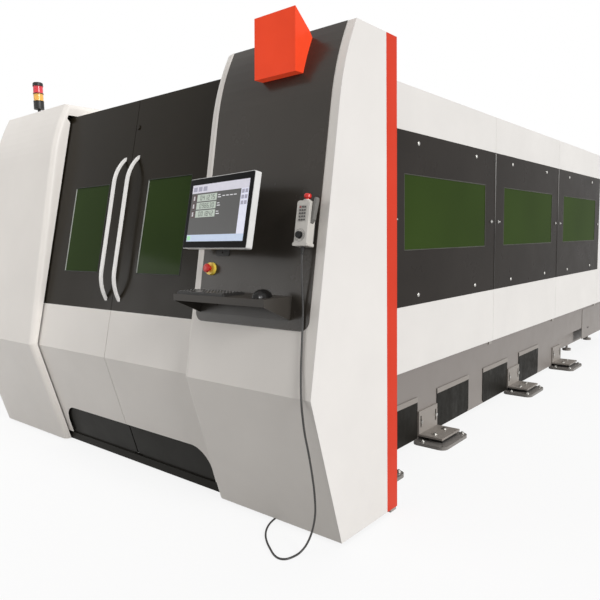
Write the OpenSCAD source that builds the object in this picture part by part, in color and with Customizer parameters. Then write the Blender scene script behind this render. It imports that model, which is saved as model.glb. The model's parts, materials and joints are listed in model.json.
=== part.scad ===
// Fibre laser cutting machine with a sheet-metal enclosure.
// X runs across the front, Y into the machine and Z up. The floor is z = 0.
// The origin is under the middle of the machine's outer box.

/* [Front module] */
// Width of the front module, over both columns
front_w = 3040; // [2960:10:3120]
// Width of the column that carries the console
right_column_w = 770; // [750:5:790]
// Width of the column that carries the signal light
left_column_w = 804; // [780:4:820]
// Height of the columns
column_h = 2200; // [2180:5:2230]
// Gap between the floor and the columns' lower edge
column_lift = 15; // [13:1:20]
// Depth of the columns' white part at the top
column_depth = 370; // [360:5:400]
// Depth of the red trim behind it
trim_depth = 87; // [70:1:110]
// How far the nose stands ahead of the columns' lower edge
nose_reach = 197; // [180:1:210]
// Height of the nose
nose_z = 677; // [650:1:700]
// Height at which the straight face ends and the crown begins
face_end_z = 1860; // [1820:5:1900]
// Backward lean of the straight face, in degrees
face_lean = 10.4; // [9.5:0.1:11]
// Radius of the curved crown
crown_r = 1100; // [1000:10:1200]
// Thickness of the sheet metal
sheet_t = 3; // [2:0.5:4]
// Rounding of the columns' edges beside the doors
corner_r = 35; // [25:1:45]
// Depth of the folded return above the doors
return_depth = 36; // [36:1:40]
// Gap between a column's return and the doors
return_gap = 8; // [6:1:12]

/* [Doors] */
// Set-back of the doors' nose behind the columns' nose
door_set_back = 50; // [50:1:60]
// Height of the doors' nose
door_nose_z = 672; // [650:1:690]
// Lower edge of the doors
door_bottom_z = 70; // [68:1:80]
// How far the lower edge lies behind the doors' nose
door_tuck = 177; // [170:1:185]
// Upper edge of the doors
door_top_z = 2110; // [2100:1:2112]
// Backward lean of the doors, in degrees
door_lean = 12.4; // [12:0.1:12.8]
// Height where the white lower skin meets the dark panel
door_split_z = 930; // [900:1:960]
// Depth of a leaf
leaf_depth = 30; // [26:1:32]
// Length of a leaf behind its column when shut
leaf_overlap = 30; // [20:1:40]
// Gap between the two leaves
leaf_gap = 4; // [3:0.5:6]
// Height of a door window, along the slope
window_h = 518; // [450:2:560]
// Height of the middle of the door windows
window_z = 1390; // [1360:2:1420]
// Width of the dark frame on each side of a window
window_margin = 185; // [170:1:200]
// Height of the dark kick recess
kick_top_z = 262; // [240:1:280]
// Depth of the kick recess
kick_depth = 16; // [10:1:20]
// Radius of the kick recess's upper corners
kick_r = 120; // [60:1:140]
// Length of a handle along the slope
handle_l = 826; // [760:2:860]
// Stand-off of a handle's middle
handle_bow = 60; // [50:1:66]
// Width of a handle
handle_w = 20; // [18:1:26]
// Depth of a handle's bar
handle_t = 12; // [10:0.5:16]
// Radius of a handle's bent ends
handle_r = 250; // [200:10:300]
// Height of the handles' middle
handle_z = 1384; // [1370:2:1400]
// Distance from the seam to a handle's middle plane
handle_inset = 62; // [55:1:70]

/* [Body] */
// Half width of the body, to the outer face of its side panels
body_half_w = 1170; // [1160:2:1180]
// Height of the body
body_h = 2180; // [2170:2:2195]
// Lower edge of the body's side panels
skirt_z = 500; // [490:2:520]
// Lower edge of the dark window band
band_low_z = 896; // [880:2:920]
// Upper edge of the dark window band
band_high_z = 1920; // [1900:2:1940]
// Where the first panel seam lies
first_seam_y = 960; // [920:5:1000]
// Length of a window panel
panel_pitch = 1540; // [1500:5:1560]
// Length of the plain panel at the rear
rear_panel_l = 540; // [500:5:600]
// Depth of a folded side panel
panel_depth = 20; // [15:1:25]
// Visible gap between two panels
panel_gap = 3; // [2:0.5:5]
// Width of a side window
side_window_w = 1184; // [1100:4:1220]
// Height of a side window
side_window_h = 450; // [420:2:480]
// Height of the middle of the side windows
side_window_z = 1452; // [1430:2:1470]
// Width of the square frame tubes
tube_w = 50; // [40:2:60]
// Wall of the frame tubes
tube_t = 4; // [3:0.5:6]
// Thickness of a window pane
pane_t = 6; // [4:0.5:8]

/* [Base] */
// Depth of the base beams, across the machine
beam_w = 120; // [110:2:126]
// Lower edge of the base beams
beam_low_z = 25; // [22:1:35]
// Upper edge of the base beams
beam_top_z = 470; // [460:2:480]
// Wall of the base beams
beam_t = 14; // [10:1:16]
// Where the deep part of the beams ends
beam_step_y = 4360; // [4330:5:4400]
// Lower edge of the shallow rear part of the beams
beam_step_z = 262; // [256:2:280]
// Length of a floor plate along the machine
plate_l = 352; // [340:2:370]
// Width of a floor plate
plate_w = 232; // [226:2:240]
// Thickness of a floor plate
plate_t = 20; // [15:1:22]
// Radius of an anchor hole
anchor_r = 9; // [7:0.5:11]
// Distance between anchor holes along the machine
anchor_pitch_y = 294; // [286:2:300]
// Distance between anchor holes across the machine
anchor_pitch_x = 131; // [125:1:137]
// Length of a rubber flap
flap_l = 500; // [480:5:510]
// Thickness of a rubber flap
flap_t = 5; // [4:0.5:6]

/* [Console] */
// Thickness of the dark console panel
console_t = 3; // [2:0.5:4]
// Lower edge of the console panel
console_low_z = 940; // [930:2:950]
// Light margin left of the console panel
console_margin_in = 50; // [46:1:60]
// Light margin right of the console panel
console_margin_out = 45; // [40:1:50]
// Width of the monitor
monitor_w = 486; // [470:2:490]
// Height of the monitor
monitor_h = 318; // [306:2:324]
// Thickness of the monitor
monitor_t = 32; // [30:1:36]
// Turn of the monitor towards the doors, in degrees
monitor_turn = 9; // [7:0.5:10]
// Backward tilt of the monitor, in degrees
monitor_tilt = 11; // [9:0.5:12]
// Height of the monitor's tilt axis
monitor_z = 1421; // [1400:1:1440]
// Height of the keyboard tray's top
tray_z = 1078; // [1070:1:1086]
// How far the tray stands ahead of the columns' lower edge
tray_front_y = 297; // [290:1:304]
// Width of the keyboard tray
tray_w = 546; // [536:2:552]
// Height of the tray's folded front lip
lip_h = 30; // [24:1:36]
// Radius of the emergency stop's yellow base
estop_r = 30; // [26:1:32]
// Radius of the emergency stop's red mushroom
mushroom_r = 20; // [17:1:22]
// Width of the hand pendant
pendant_w = 68; // [64:1:70]
// Length of the hand pendant
pendant_l = 182; // [176:1:188]
// Thickness of the hand pendant
pendant_t = 44; // [40:1:46]
// Diameter of the pendant's cable
cable_d = 9; // [8:0.5:9]

/* [Cutting unit] */
// Travel of the gantry along the machine
gantry_travel = 3000; // [2900:20:3040]
// Where the gantry rests, at the middle of its beam
gantry_y = 1760; // [1740:5:1790]
// Length of the pallet
pallet_l = 3120; // [3080:10:3160]
// Clear distance between the pallet and a bed
pallet_margin = 180; // [170:5:200]
// Front end of the pallet
pallet_y = 1500; // [1480:5:1520]
// Height of the pallet's underside
pallet_z = 720; // [716:1:730]
// Number of support slats
slat_count = 26; // [20:1:30]
// Number of teeth on a slat
slat_teeth = 18; // [12:1:20]
// Height of a slat
slat_h = 80; // [70:2:84]
// Thickness of a slat
slat_t = 4; // [3:0.5:5]

/* [Hidden] */
$fn = 48;

// A small clearance between pieces that would otherwise meet
seat_gap = 0.3;
// How far a cutting shape reaches past the face that it cuts
cut = 5;

// Places across the front
half_w = front_w / 2;
opening_right = half_w - right_column_w;
opening_left = -half_w + left_column_w;
opening_w = opening_right - opening_left;
seam_x = (opening_right + opening_left) / 2;
leaf_w = opening_w / 2 + leaf_overlap;

// Places along the machine, from the columns' lower front edge
module_rear = column_depth + trim_depth;
seams = [module_rear, first_seam_y, first_seam_y + panel_pitch, first_seam_y + 2 * panel_pitch,
    first_seam_y + 3 * panel_pitch, first_seam_y + 3 * panel_pitch + rear_panel_l];
body_rear = seams[5];
middle_y = (body_rear - tray_front_y) / 2;
feet = [670, 1485, 3010, 4180];
rear_feet = [5100, 5950];

// The columns' side profile as points of Y and Z, from the lower front edge up and back
crown_steps = 8;
face_end_y = (face_end_z - nose_z) * tan(face_lean) - nose_reach;
crown_centre = [face_end_y + crown_r * cos(face_lean), face_end_z - crown_r * sin(face_lean)];
crown_end = asin((column_h - crown_centre[1]) / crown_r);
column_path = concat([[0, column_lift], [-nose_reach, nose_z], [face_end_y, face_end_z]],
    [for (i = [1:crown_steps]) crown_point(face_lean + (crown_end - face_lean) * i / crown_steps)],
    [[module_rear, column_h]]);
function crown_point(a) = crown_centre + crown_r * [-cos(a), sin(a)];
function face_y(z) = (z - nose_z) * tan(face_lean) - nose_reach;

// The doors' side profile
door_nose_y = door_set_back - nose_reach;
door_bottom_y = door_nose_y + door_tuck;
function door_y(z) = door_nose_y + (z - door_nose_z) * tan(door_lean);

// An open outline in the YZ plane, moved into the machine by d with mitred bends
flat = [1, 0];
plumb = [0, -1];
function heading(a, b) = (b - a) / norm(b - a);
function inward(d) = [d[1], -d[0]];
function mitre(path, i, first, last) =
    i == 0 ? first / (first * inward(heading(path[0], path[1])))
    : i == len(path) - 1 ? last / (last * inward(heading(path[i - 1], path[i])))
    : let (a = inward(heading(path[i - 1], path[i])), b = inward(heading(path[i], path[i + 1])))
        (a + b) / (1 + a * b);
function shifted(path, d, first, last) =
    [for (i = [0:len(path) - 1]) path[i] + d * mitre(path, i, first, last)];
function reversed(list) = [for (i = [len(list) - 1:-1:0]) list[i]];
function strip(path, d0, d1, first, last) =
    concat(shifted(path, d0, first, last), reversed(shifted(path, d1, first, last)));

// Moves a shape from the working frame to the part's own origin
module placed() {
    translate([0, -middle_y, 0]) children();
}

module both_sides() {
    children();
    mirror([1, 0, 0]) children();
}

// A YZ outline drawn out along X
module across(outline, x0, x1) {
    translate([x0, 0, 0]) rotate([90, 0, 90]) linear_extrude(x1 - x0) polygon(outline);
}

// A box given by its low and high corners
module block(low, high) {
    translate(low) cube(high - low);
}

// A square tube given by its low and high corners, open along the axis numbered run
module tube(low, high, run) {
    inset = [for (i = [0:2]) i == run ? -cut : tube_t];
    difference() {
        block(low, high);
        block(low + inset, high - inset);
    }
}

// A folded tray panel with its open side towards the machine's middle
module folded_panel(x, depth, y0, y1, z0, z1) {
    difference() {
        block([x - depth, y0, z0], [x, y1, z1]);
        block([x - depth - cut, y0 + sheet_t, z0 + sheet_t], [x - sheet_t, y1 - sheet_t, z1 - sheet_t]);
    }
}

// A rounded rectangle with its middle at the origin
module rounded(w, h, r) {
    for (sx = [-1, 1], sy = [-1, 1])
        translate([sx * (w / 2 - r), sy * (h / 2 - r)]) circle(r);
    square([w - 2 * r, h], center = true);
    square([w, h - 2 * r], center = true);
}

// Puts a shape on the console column: X across, Y up the slope and Z out of the face
module on_column(x, z, out = 0) {
    translate([x, face_y(z), z]) rotate([90 - face_lean, 0, 0]) translate([0, 0, out]) children();
}

// The same on a door leaf
module on_door(x, z, out = 0) {
    translate([x, door_y(z), z]) rotate([90 - door_lean, 0, 0]) translate([0, 0, out]) children();
}

// A leaf is drawn with the seam at x = 0 and its free side along +X
module leaf(right) {
    translate([seam_x, 0, 0]) mirror([right ? 0 : 1, 0, 0]) children();
}

// Base

// Side outline of a beam web, with the step up at its rear
function beam_outline(t) = [[module_rear, beam_low_z + t], [beam_step_y - t, beam_low_z + t],
    [beam_step_y - t, beam_step_z + t], [body_rear - sheet_t, beam_step_z + t],
    [body_rear - sheet_t, beam_top_z - t], [module_rear, beam_top_z - t]];
beam_outer_x = body_half_w - 30;
beam_inner_x = beam_outer_x - beam_w;
cover_y = 5105;
cover_t = 4;
cover_low_z = 138;
slot_w = 14;
slot_l = 60;
slot_z = 235;
slot_y = cover_y + 210;

module base_beams() {
    color("#8e867d") placed() both_sides() {
        difference() {
            across(beam_outline(0), beam_inner_x, beam_outer_x);
            across(beam_outline(beam_t), beam_inner_x - cut, beam_outer_x - beam_t);
        }
        difference() {
            block([beam_outer_x, cover_y, cover_low_z], [beam_outer_x + cover_t, body_rear - sheet_t, beam_top_z]);
            translate([beam_outer_x - cut, slot_y, slot_z]) cube([cover_t + 2 * cut, slot_l, slot_w]);
        }
    }
}

cross_low_z = 120;
cross_top_z = 250;
cross_w = 90;
cross_members = [540, 1500, 2500, 3500, 4290];
rear_cross_members = [5150, 6000];
subframe_outer_x = beam_inner_x + 30;
subframe_inner_x = subframe_outer_x - beam_w;
subframe_y = 4600;
subframe_low_z = 90;
levelling_stem_r = 12;
levelling_foot_r = 45;
levelling_foot_h = 22;
levelling_x = (subframe_outer_x + subframe_inner_x) / 2;

module base_cross_members() {
    color("#7b746c") placed() {
        for (y = cross_members)
            tube([beam_t - beam_outer_x, y - cross_w / 2, cross_low_z],
                [beam_outer_x - beam_t, y + cross_w / 2, cross_top_z], 0);
        for (y = rear_cross_members)
            tube([seat_gap - subframe_inner_x, y - cross_w / 2, cross_low_z],
                [subframe_inner_x - seat_gap, y + cross_w / 2, cross_top_z], 0);
        both_sides() {
            tube([subframe_inner_x, subframe_y, subframe_low_z],
                [subframe_outer_x, body_rear - sheet_t, beam_step_z], 1);
            for (y = rear_feet) translate([levelling_x, y, 0]) {
                cylinder(r = levelling_foot_r, h = levelling_foot_h);
                cylinder(r = levelling_stem_r, h = subframe_low_z - seat_gap);
            }
        }
    }
}

plate_outer_x = body_half_w + 184;
plate_mid_x = plate_outer_x - plate_w / 2;
anchor_mid_x = plate_outer_x - 100;
plate_corner_r = 45;

module floor_plates() {
    color("#6f6b66") placed() both_sides() for (y = feet) difference() {
        translate([plate_mid_x, y, 0]) linear_extrude(plate_t) rounded(plate_w, plate_l, plate_corner_r);
        for (sx = [-1, 1], sy = [-1, 1])
            translate([anchor_mid_x + sx * anchor_pitch_x / 2, y + sy * anchor_pitch_y / 2, -cut])
                cylinder(r = anchor_r, h = plate_t + 2 * cut);
    }
}

shoe_h = 24;
shoe_w = 136;
shoe_l = 200;
shoe_mid_x = beam_outer_x + 92;
shoe_top_z = plate_t + shoe_h;
pad_t = 12;
pad_w = 172;
bracket_l = 250;
bracket_top_z = 202;
pad_bolt_pitch = 134;
web_bolt_z = 132;
web_bolt_pitch = 200;
web_slot_l = 74;
bolt_r = 8;

module foot_shoes() {
    color("#34332f") placed() both_sides() for (y = feet) {
        block([shoe_mid_x - shoe_w / 2, y - shoe_l / 2, plate_t], [shoe_mid_x + shoe_w / 2, y + shoe_l / 2, shoe_top_z]);
    }
}

module foot_brackets() {
    color("#a09990") placed() both_sides() {
        at_flaps() block([flap_t, 0, flap_top_z + 4 - strip_h], [flap_t + strip_t, flap_l, flap_top_z + 4]);
        for (y = feet) foot_bracket(y);
    }
}

module foot_bracket(y) {
    difference() {
        union() {
            block([beam_outer_x, y - bracket_l / 2, shoe_top_z],
                [beam_outer_x + pad_t, y + bracket_l / 2, bracket_top_z]);
            block([beam_outer_x, y - bracket_l / 2, shoe_top_z],
                [beam_outer_x + pad_w, y + bracket_l / 2, shoe_top_z + pad_t]);
        }
        for (s = [-1, 1]) {
            translate([shoe_mid_x, y + s * pad_bolt_pitch / 2, shoe_top_z - cut])
                cylinder(r = bolt_r + seat_gap, h = pad_t + 2 * cut);
            translate([beam_outer_x - cut, y + s * web_bolt_pitch / 2 - bolt_r - seat_gap, web_bolt_z - web_slot_l / 2])
                cube([pad_t + 2 * cut, 2 * (bolt_r + seat_gap), web_slot_l]);
        }
    }
}

flap_low_z = 30;
flap_top_z = 296;
flap_start = bracket_l / 2 + 8;
strip_h = 34;
strip_t = 3;

// Draws its children at the inner end of each flap: two flaps beside each middle foot
module at_flaps() {
    for (y = [feet[1], feet[2]], s = [0, 1])
        translate([beam_outer_x, y, 0]) mirror([0, s, 0]) translate([0, flap_start, 0]) children();
}

module rubber_flaps() {
    color("#383733") placed() both_sides() at_flaps() difference() {
        block([0, 0, flap_low_z], [flap_t, flap_l, flap_top_z]);
        translate([0, flap_l, flap_low_z]) rotate([45, 0, 0]) cube(28, center = true);
    }
}

bolt_head_r = 13;
bolt_head_h = 10;
screw_head_r = 9;
screw_head_h = 4;
latch_r = 12;
screw_inset_y = 350;
screw_inset_z = 58;
latch_z = 1410;
latch_inset = 65;

// A hexagon bolt that hangs down from its head's seat at the origin
module hex_bolt(length) {
    cylinder(r = bolt_head_r, h = bolt_head_h, $fn = 6);
    translate([0, 0, -length]) cylinder(r = bolt_r, h = length + 1);
}

// A low round screw head with a slot, standing on the plane x = 0
module panel_screw(r) {
    difference() {
        rotate([0, 90, 0]) cylinder(r = r, h = screw_head_h, $fn = 24);
        translate([screw_head_h, 0, 0]) cube([2, 2.4, 2 * r], center = true);
    }
}

module bolts_and_screws() {
    color("#b9b6b0") placed() both_sides() {
        for (y = feet, s = [-1, 1]) {
            translate([shoe_mid_x, y + s * pad_bolt_pitch / 2, shoe_top_z + pad_t]) hex_bolt(pad_t);
            translate([beam_outer_x + pad_t, y + s * web_bolt_pitch / 2, web_bolt_z])
                rotate([0, 90, 0]) hex_bolt(pad_t);
        }
        for (i = [1:3], s = [-1, 1]) {
            mid = (seams[i] + seams[i + 1]) / 2;
            reach = panel_pitch / 2 - screw_inset_y;
            for (z = [band_low_z + screw_inset_z, band_high_z - screw_inset_z])
                translate([body_half_w, mid + s * reach, z]) panel_screw(screw_head_r);
            translate([body_half_w, mid + s * (panel_pitch / 2 - latch_inset), latch_z])
                panel_screw(latch_r);
        }
    }
}

// Columns

// Where the return beside the doors ends: close to the leaves, and at a plain depth above them
function door_line(z) = z > door_nose_z ? door_y(z)
    : door_nose_y + door_tuck * (door_nose_z - z) / (door_nose_z - door_bottom_z);
return_line = [for (i = [0:len(column_path) - 1]) let (z = column_path[i][1])
    z < door_top_z - return_gap ? [door_line(z) - return_gap, z] : shifted(column_path, return_depth, flat, plumb)[i]];

// The section of a column skin as pairs of X and depth: return, rounded corner and face
corner_steps = 6;
function corner(edge, r, t) = [for (i = [0:corner_steps]) let (a = 90 * i / corner_steps)
    [edge + corner_r - r * cos(a), corner_r - r * sin(a)]];
function skin_section(edge, far) = concat([[edge, undef]], corner(edge, corner_r, 0),
    [[far, 0], [far, sheet_t]], reversed(corner(edge, corner_r - sheet_t, sheet_t)),
    [[edge + sheet_t, undef]]);

// A closed section of X and depth, swept along a YZ outline with mitred bends.
// Section points without a depth follow the outline called free.
module swept(path, section, free, first, last) {
    n = len(section);
    points = [for (i = [0:len(path) - 1], s = section)
        let (p = is_undef(s[1]) ? free[i] : path[i] + s[1] * mitre(path, i, first, last))
            [s[0], p[0], p[1]]];
    walls = [for (i = [0:len(path) - 2], j = [0:n - 1])
        let (k = (j + 1) % n) [i * n + j, i * n + k, (i + 1) * n + k, (i + 1) * n + j]];
    low_cap = [for (j = [n - 1:-1:0]) j];
    high_cap = [for (j = [0:n - 1]) (len(path) - 1) * n + j];
    polyhedron(points, concat(walls, [low_cap, high_cap]), convexity = 6);
}

module column_skin(width) {
    swept(column_path, skin_section(half_w - width, half_w - sheet_t), return_line, flat, plumb);
}

module left_column_skin() {
    color("#d8d3cd") placed() mirror([1, 0, 0]) column_skin(left_column_w);
}

module right_column_skin() {
    color("#d8d3cd") placed() column_skin(right_column_w);
}

// The whole space inside a column's profile, d inside its outer face
function column_space(d, rear) = concat(shifted(column_path, d, flat, plumb), [[module_rear, column_lift]]);

module column_side_panels() {
    color("#f1efec") placed() both_sides() intersection() {
        across(column_space(0), half_w - sheet_t, half_w);
        block([0, -nose_reach - cut, 0], [half_w + cut, column_depth, column_h + cut]);
    }
}

header_y = 245;
header_d = 60;
header_low_z = 2030;
header_top_z = 2120;
inner_panel_y = header_y + header_d + 5;

module inner_panel(edge) {
    intersection() {
        across(column_space(return_depth + seat_gap), edge, edge + sheet_t);
        union() {
            block([edge, inner_panel_y, column_lift], [edge + sheet_t, module_rear, column_h]);
            block([edge, -nose_reach, header_top_z + 5], [edge + sheet_t, inner_panel_y - seat_gap, column_h]);
        }
    }
}

gland_x = 1120;
gland_y = 111;
gland_top_z = 96;
gland_r = 12;
shelf_t = 4;
shelf_y = 88;

module column_inner_panels() {
    color("#d8d3cd") placed() {
        inner_panel(opening_right);
        mirror([1, 0, 0]) inner_panel(-opening_left);
        for (side = [[opening_right, half_w - sheet_t], [sheet_t - half_w, opening_left]]) {
            inner = side[0] == opening_right ? [sheet_t + seat_gap, 0] : [0, -sheet_t - seat_gap];
            block([side[0] + inner[0], module_rear - sheet_t, column_lift],
                [side[1] + inner[1], module_rear, column_h - sheet_t - seat_gap]);
            difference() {
                block([side[0] + inner[0], shelf_y, gland_top_z],
                    [side[1] + inner[1], module_rear - sheet_t - tube_w - 2 * seat_gap, gland_top_z + shelf_t]);
                translate([gland_x, gland_y, gland_top_z - cut]) cylinder(r = gland_r, h = shelf_t + 2 * cut);
            }
        }
    }
}

trim_return = 60;

module side_trims() {
    color("#e8472a") placed() both_sides() {
        block([half_w - sheet_t, column_depth + seat_gap, column_lift], [half_w, module_rear + sheet_t, column_h]);
        block([half_w - trim_return, module_rear, column_lift], [half_w, module_rear + sheet_t, column_h]);
    }
}

post_low_z = 0;
post_y = module_rear - sheet_t - tube_w - seat_gap;
frame_x = body_half_w - panel_depth;
frame_top_z = body_h - sheet_t;
rear_post_y = body_rear - sheet_t - tube_w;

// Places of the body's posts along the machine
function post_places() = [module_rear + sheet_t + seat_gap, seams[1] - tube_w / 2, seams[2] - tube_w / 2,
    seams[3] - tube_w / 2, seams[4] - tube_w / 2, rear_post_y];

module cabin_frame() {
    color("#8e867d") placed() {
        for (x = [half_w - sheet_t - tube_w, opening_right + sheet_t, opening_left - sheet_t - tube_w, sheet_t - half_w])
            tube([x, post_y, post_low_z], [x + tube_w, post_y + tube_w, column_h - return_depth - seat_gap], 2);
        both_sides() {
            tube([frame_x - tube_w, module_rear + sheet_t + seat_gap, frame_top_z - tube_w],
                [frame_x, body_rear - sheet_t, frame_top_z], 1);
            for (y = post_places())
                tube([frame_x - tube_w, y, beam_top_z], [frame_x, y + tube_w, frame_top_z - tube_w - seat_gap], 2);
        }
        for (y = post_places())
            tube([tube_w - frame_x + seat_gap, y, frame_top_z - tube_w],
                [frame_x - tube_w - seat_gap, y + tube_w, frame_top_z], 0);
    }
}

// Doors

rail_y = header_y - 20;
rail_z = 2066;
rail_h = 20;
sill_low_z = column_lift;
sill_top_z = 60;
sill_y = 42;
sill_d = 24;
groove_w = 8;

module door_rails() {
    color("#5d5a56") placed() {
        block([sheet_t - half_w, header_y, header_low_z], [half_w - sheet_t, header_y + header_d, header_top_z]);
        block([sheet_t - half_w, rail_y, rail_z], [half_w - sheet_t, header_y + 1, rail_z + rail_h]);
        difference() {
            block([sheet_t - half_w, sill_y, sill_low_z], [half_w - sheet_t, sill_y + sill_d, sill_top_z]);
            block([-half_w, sill_y + (sill_d - groove_w) / 2, sill_low_z + 10],
                [half_w, sill_y + (sill_d + groove_w) / 2, sill_top_z + cut]);
        }
    }
}

skin_path = [[door_bottom_y, door_bottom_z], [door_nose_y, door_nose_z], [door_y(door_split_z), door_split_z]];
panel_path = upper_door(door_split_z, door_top_z);
function upper_door(z0, z1) = [[door_y(z0), z0], [door_y(z1), z1]];
kick_far = opening_w / 2 - 45;

module kick_outline(far, top, r) {
    translate([-cut, 0]) square([far + cut, top - r]);
    translate([-cut, 0]) square([far + cut - r, top]);
    translate([far - r, top - r]) circle(r);
}

module door_skin() {
    difference() {
        across(strip(skin_path, 0, leaf_depth, flat, flat), leaf_gap / 2, leaf_w);
        across(strip(skin_path, sheet_t, leaf_depth + cut, flat, flat), leaf_gap / 2 + sheet_t, leaf_w - sheet_t);
        translate([0, door_bottom_y + leaf_depth + 2 * cut, 0]) rotate([90, 0, 0])
            linear_extrude(leaf_depth + door_tuck) kick_outline(kick_far, kick_top_z, kick_r);
    }
}

window_w = opening_w / 2 - 2 * window_margin;
window_mid = opening_w / 4;

module door_panel() {
    difference() {
        across(strip(panel_path, 0, leaf_depth, flat, flat), leaf_gap / 2, leaf_w);
        across(strip(upper_door(door_split_z - cut, door_top_z - sheet_t), sheet_t, leaf_depth + cut, flat, flat),
            leaf_gap / 2 + sheet_t, leaf_w - sheet_t);
        on_door(window_mid, window_z, -cut) linear_extrude(2 * cut) rounded(window_w, window_h, 4);
    }
}

pane_lap = 14;

module door_window() {
    on_door(window_mid, window_z, -sheet_t - pane_t)
        linear_extrude(pane_t) rounded(window_w + 2 * pane_lap, window_h + 2 * pane_lap, 6);
}

// A handle is a bar with bent ends, cut flush by the leaf
handle_steps = 10;
handle_straight = handle_l - 2 * sqrt(2 * handle_r * handle_bow - handle_bow * handle_bow);
function handle_end(r) = let (turn = acos((handle_r - handle_bow) / r)) [for (i = [0:handle_steps])
    let (a = turn * i / handle_steps) [handle_straight / 2 + r * sin(a), handle_bow - handle_r + r * cos(a)]];
function handle_line(r) = concat([for (p = reversed(handle_end(r))) [-p[0], p[1]]], handle_end(r));

module door_handle() {
    on_door(handle_inset, handle_z) rotate([90, 0, 90]) translate([0, 0, -handle_w / 2])
        linear_extrude(handle_w) polygon(concat(handle_line(handle_r), reversed(handle_line(handle_r - handle_t))));
}

hanger_w = 90;
hanger_places = [110, leaf_w - 130];
hanger_jaw = 20;
tongue_t = 6;
tongue_bar_h = 8;

module door_frame() {
    x0 = leaf_gap / 2 + sheet_t + seat_gap;
    x1 = leaf_w - sheet_t - seat_gap;
    difference() {
        union() {
            across(strip(upper_door(door_split_z, door_top_z - sheet_t - seat_gap),
                sheet_t + pane_t + seat_gap, leaf_depth, flat, flat), x0, x1);
            across(strip(skin_path, kick_depth, leaf_depth, flat, flat), x0, x1);
        }
        on_door(window_mid, window_z, -leaf_depth - cut) linear_extrude(leaf_depth + cut)
            rounded(window_w, window_h, 4);
    }
    for (x = hanger_places) difference() {
        block([x - hanger_w / 2, door_y(rail_z) + leaf_depth - 2, rail_z - hanger_jaw],
            [x + hanger_w / 2, header_y - 2, rail_z + rail_h + hanger_jaw]);
        block([x - hanger_w, rail_y - seat_gap, rail_z - seat_gap], [x + hanger_w, header_y, rail_z + rail_h + seat_gap]);
    }
    sill_mid = sill_y + sill_d / 2;
    block([40, sill_mid - tongue_t / 2, sill_low_z + 14], [leaf_w - 60, sill_mid + tongue_t / 2, door_bottom_z + tongue_bar_h]);
    block([40, door_bottom_y + kick_depth + 2, door_bottom_z], [leaf_w - 60, sill_mid, door_bottom_z + tongue_bar_h]);
}

module left_door_skin() {
    color("#d8d3cd") placed() leaf(false) door_skin();
}

module right_door_skin() {
    color("#d8d3cd") placed() leaf(true) door_skin();
}

module left_door_panel() {
    color("#45433f") placed() leaf(false) door_panel();
}

lock_r = 14;
lock_h = 6;
lock_z = 1950;

module right_door_panel() {
    color("#45433f") placed() {
        leaf(true) door_panel();
        on_door(seam_x + 24, lock_z, -0.5) cylinder(r = lock_r, h = lock_h + 0.5);
    }
}

module left_door_window() {
    color("#2c4a20", 0.8) placed() leaf(false) door_window();
}

module right_door_window() {
    color("#2c4a20", 0.8) placed() leaf(true) door_window();
}

module left_door_handle() {
    color("#e9e7e4") placed() leaf(false) door_handle();
}

module right_door_handle() {
    color("#e9e7e4") placed() leaf(true) door_handle();
}

module left_door_frame() {
    color("#3a3936") placed() leaf(false) door_frame();
}

module right_door_frame() {
    color("#3a3936") placed() leaf(true) door_frame();
}

// Console

console_x0 = opening_right + console_margin_in;
console_x1 = half_w - console_margin_out;
console_r = 45;
panel_seat = 0.1;
console_w = console_x1 - console_x0;
console_mid = (console_x0 + console_x1) / 2;
face_l = (face_end_z - console_low_z) / cos(face_lean);
upper_path = [for (i = [2:len(column_path) - 2]) column_path[i]];

module console_panel() {
    color("#45433f") placed() {
        on_column(console_mid, console_low_z, panel_seat) linear_extrude(console_t - panel_seat) {
            translate([-console_w / 2, console_r]) square([console_w, face_l - console_r + 0.5]);
            translate([console_r - console_w / 2, 0]) square([console_w - 2 * console_r, console_r + 1]);
            for (s = [-1, 1]) translate([s * (console_w / 2 - console_r), console_r]) circle(console_r);
        }
        across(strip(upper_path, -console_t, -panel_seat, inward(heading(column_path[1], column_path[2])), flat),
            console_x0, console_x1);
    }
}

sign_x0 = half_w - 445;
sign_x1 = half_w - 212;
sign_low_z = 2003;
sign_top_z = 2265;
sign_back = [100, 2187];

module sign_box() {
    outline = concat([[face_y(sign_low_z) - 46, sign_low_z], [8, sign_top_z], sign_back],
        reversed([for (p = shifted(column_path, -console_t - seat_gap, flat, plumb))
            if (p[1] > sign_low_z && p[1] < sign_back[1] - 20) p]),
        [[crown_y(sign_low_z) - console_t - 1, sign_low_z]]);
    color("#e8472a") placed() across(outline, sign_x0, sign_x1);
}

function crown_y(z) = crown_centre[0] - crown_r * cos(asin((z - crown_centre[1]) / crown_r));

light_x = -1180;
light_y = 195;
light_r = 34;
light_stem_h = 36;
light_step = 52;
light_low_z = column_h + light_stem_h;

module signal_light_body() {
    color("#2b2a28") placed() translate([light_x, light_y, 0]) {
        translate([0, 0, column_h]) cylinder(r = 26, h = 5);
        translate([0, 0, column_h]) cylinder(r = 10, h = light_stem_h + 1);
        translate([0, 0, light_low_z]) cylinder(r = light_r, h = light_step);
        translate([0, 0, light_low_z + 3 * light_step]) rotate_extrude() polygon(concat([[0, 0], [light_r, 0]],
            [for (a = [0:15:75]) [light_r - 10 + 10 * cos(a), 14 + 10 * sin(a)]], [[0, 24]]));
    }
}

module signal_lens(step) {
    placed() translate([light_x, light_y, light_low_z + step * light_step]) rotate_extrude()
        polygon([[0, 0], [light_r, 0], [light_r, 4], [light_r - 2, 6], [light_r - 2, light_step - 6],
            [light_r, light_step - 4], [light_r, light_step], [0, light_step]]);
}

module signal_light_amber() {
    color("#f2a33a") signal_lens(1);
}

module signal_light_red() {
    color("#d8303a") signal_lens(2);
}

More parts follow.
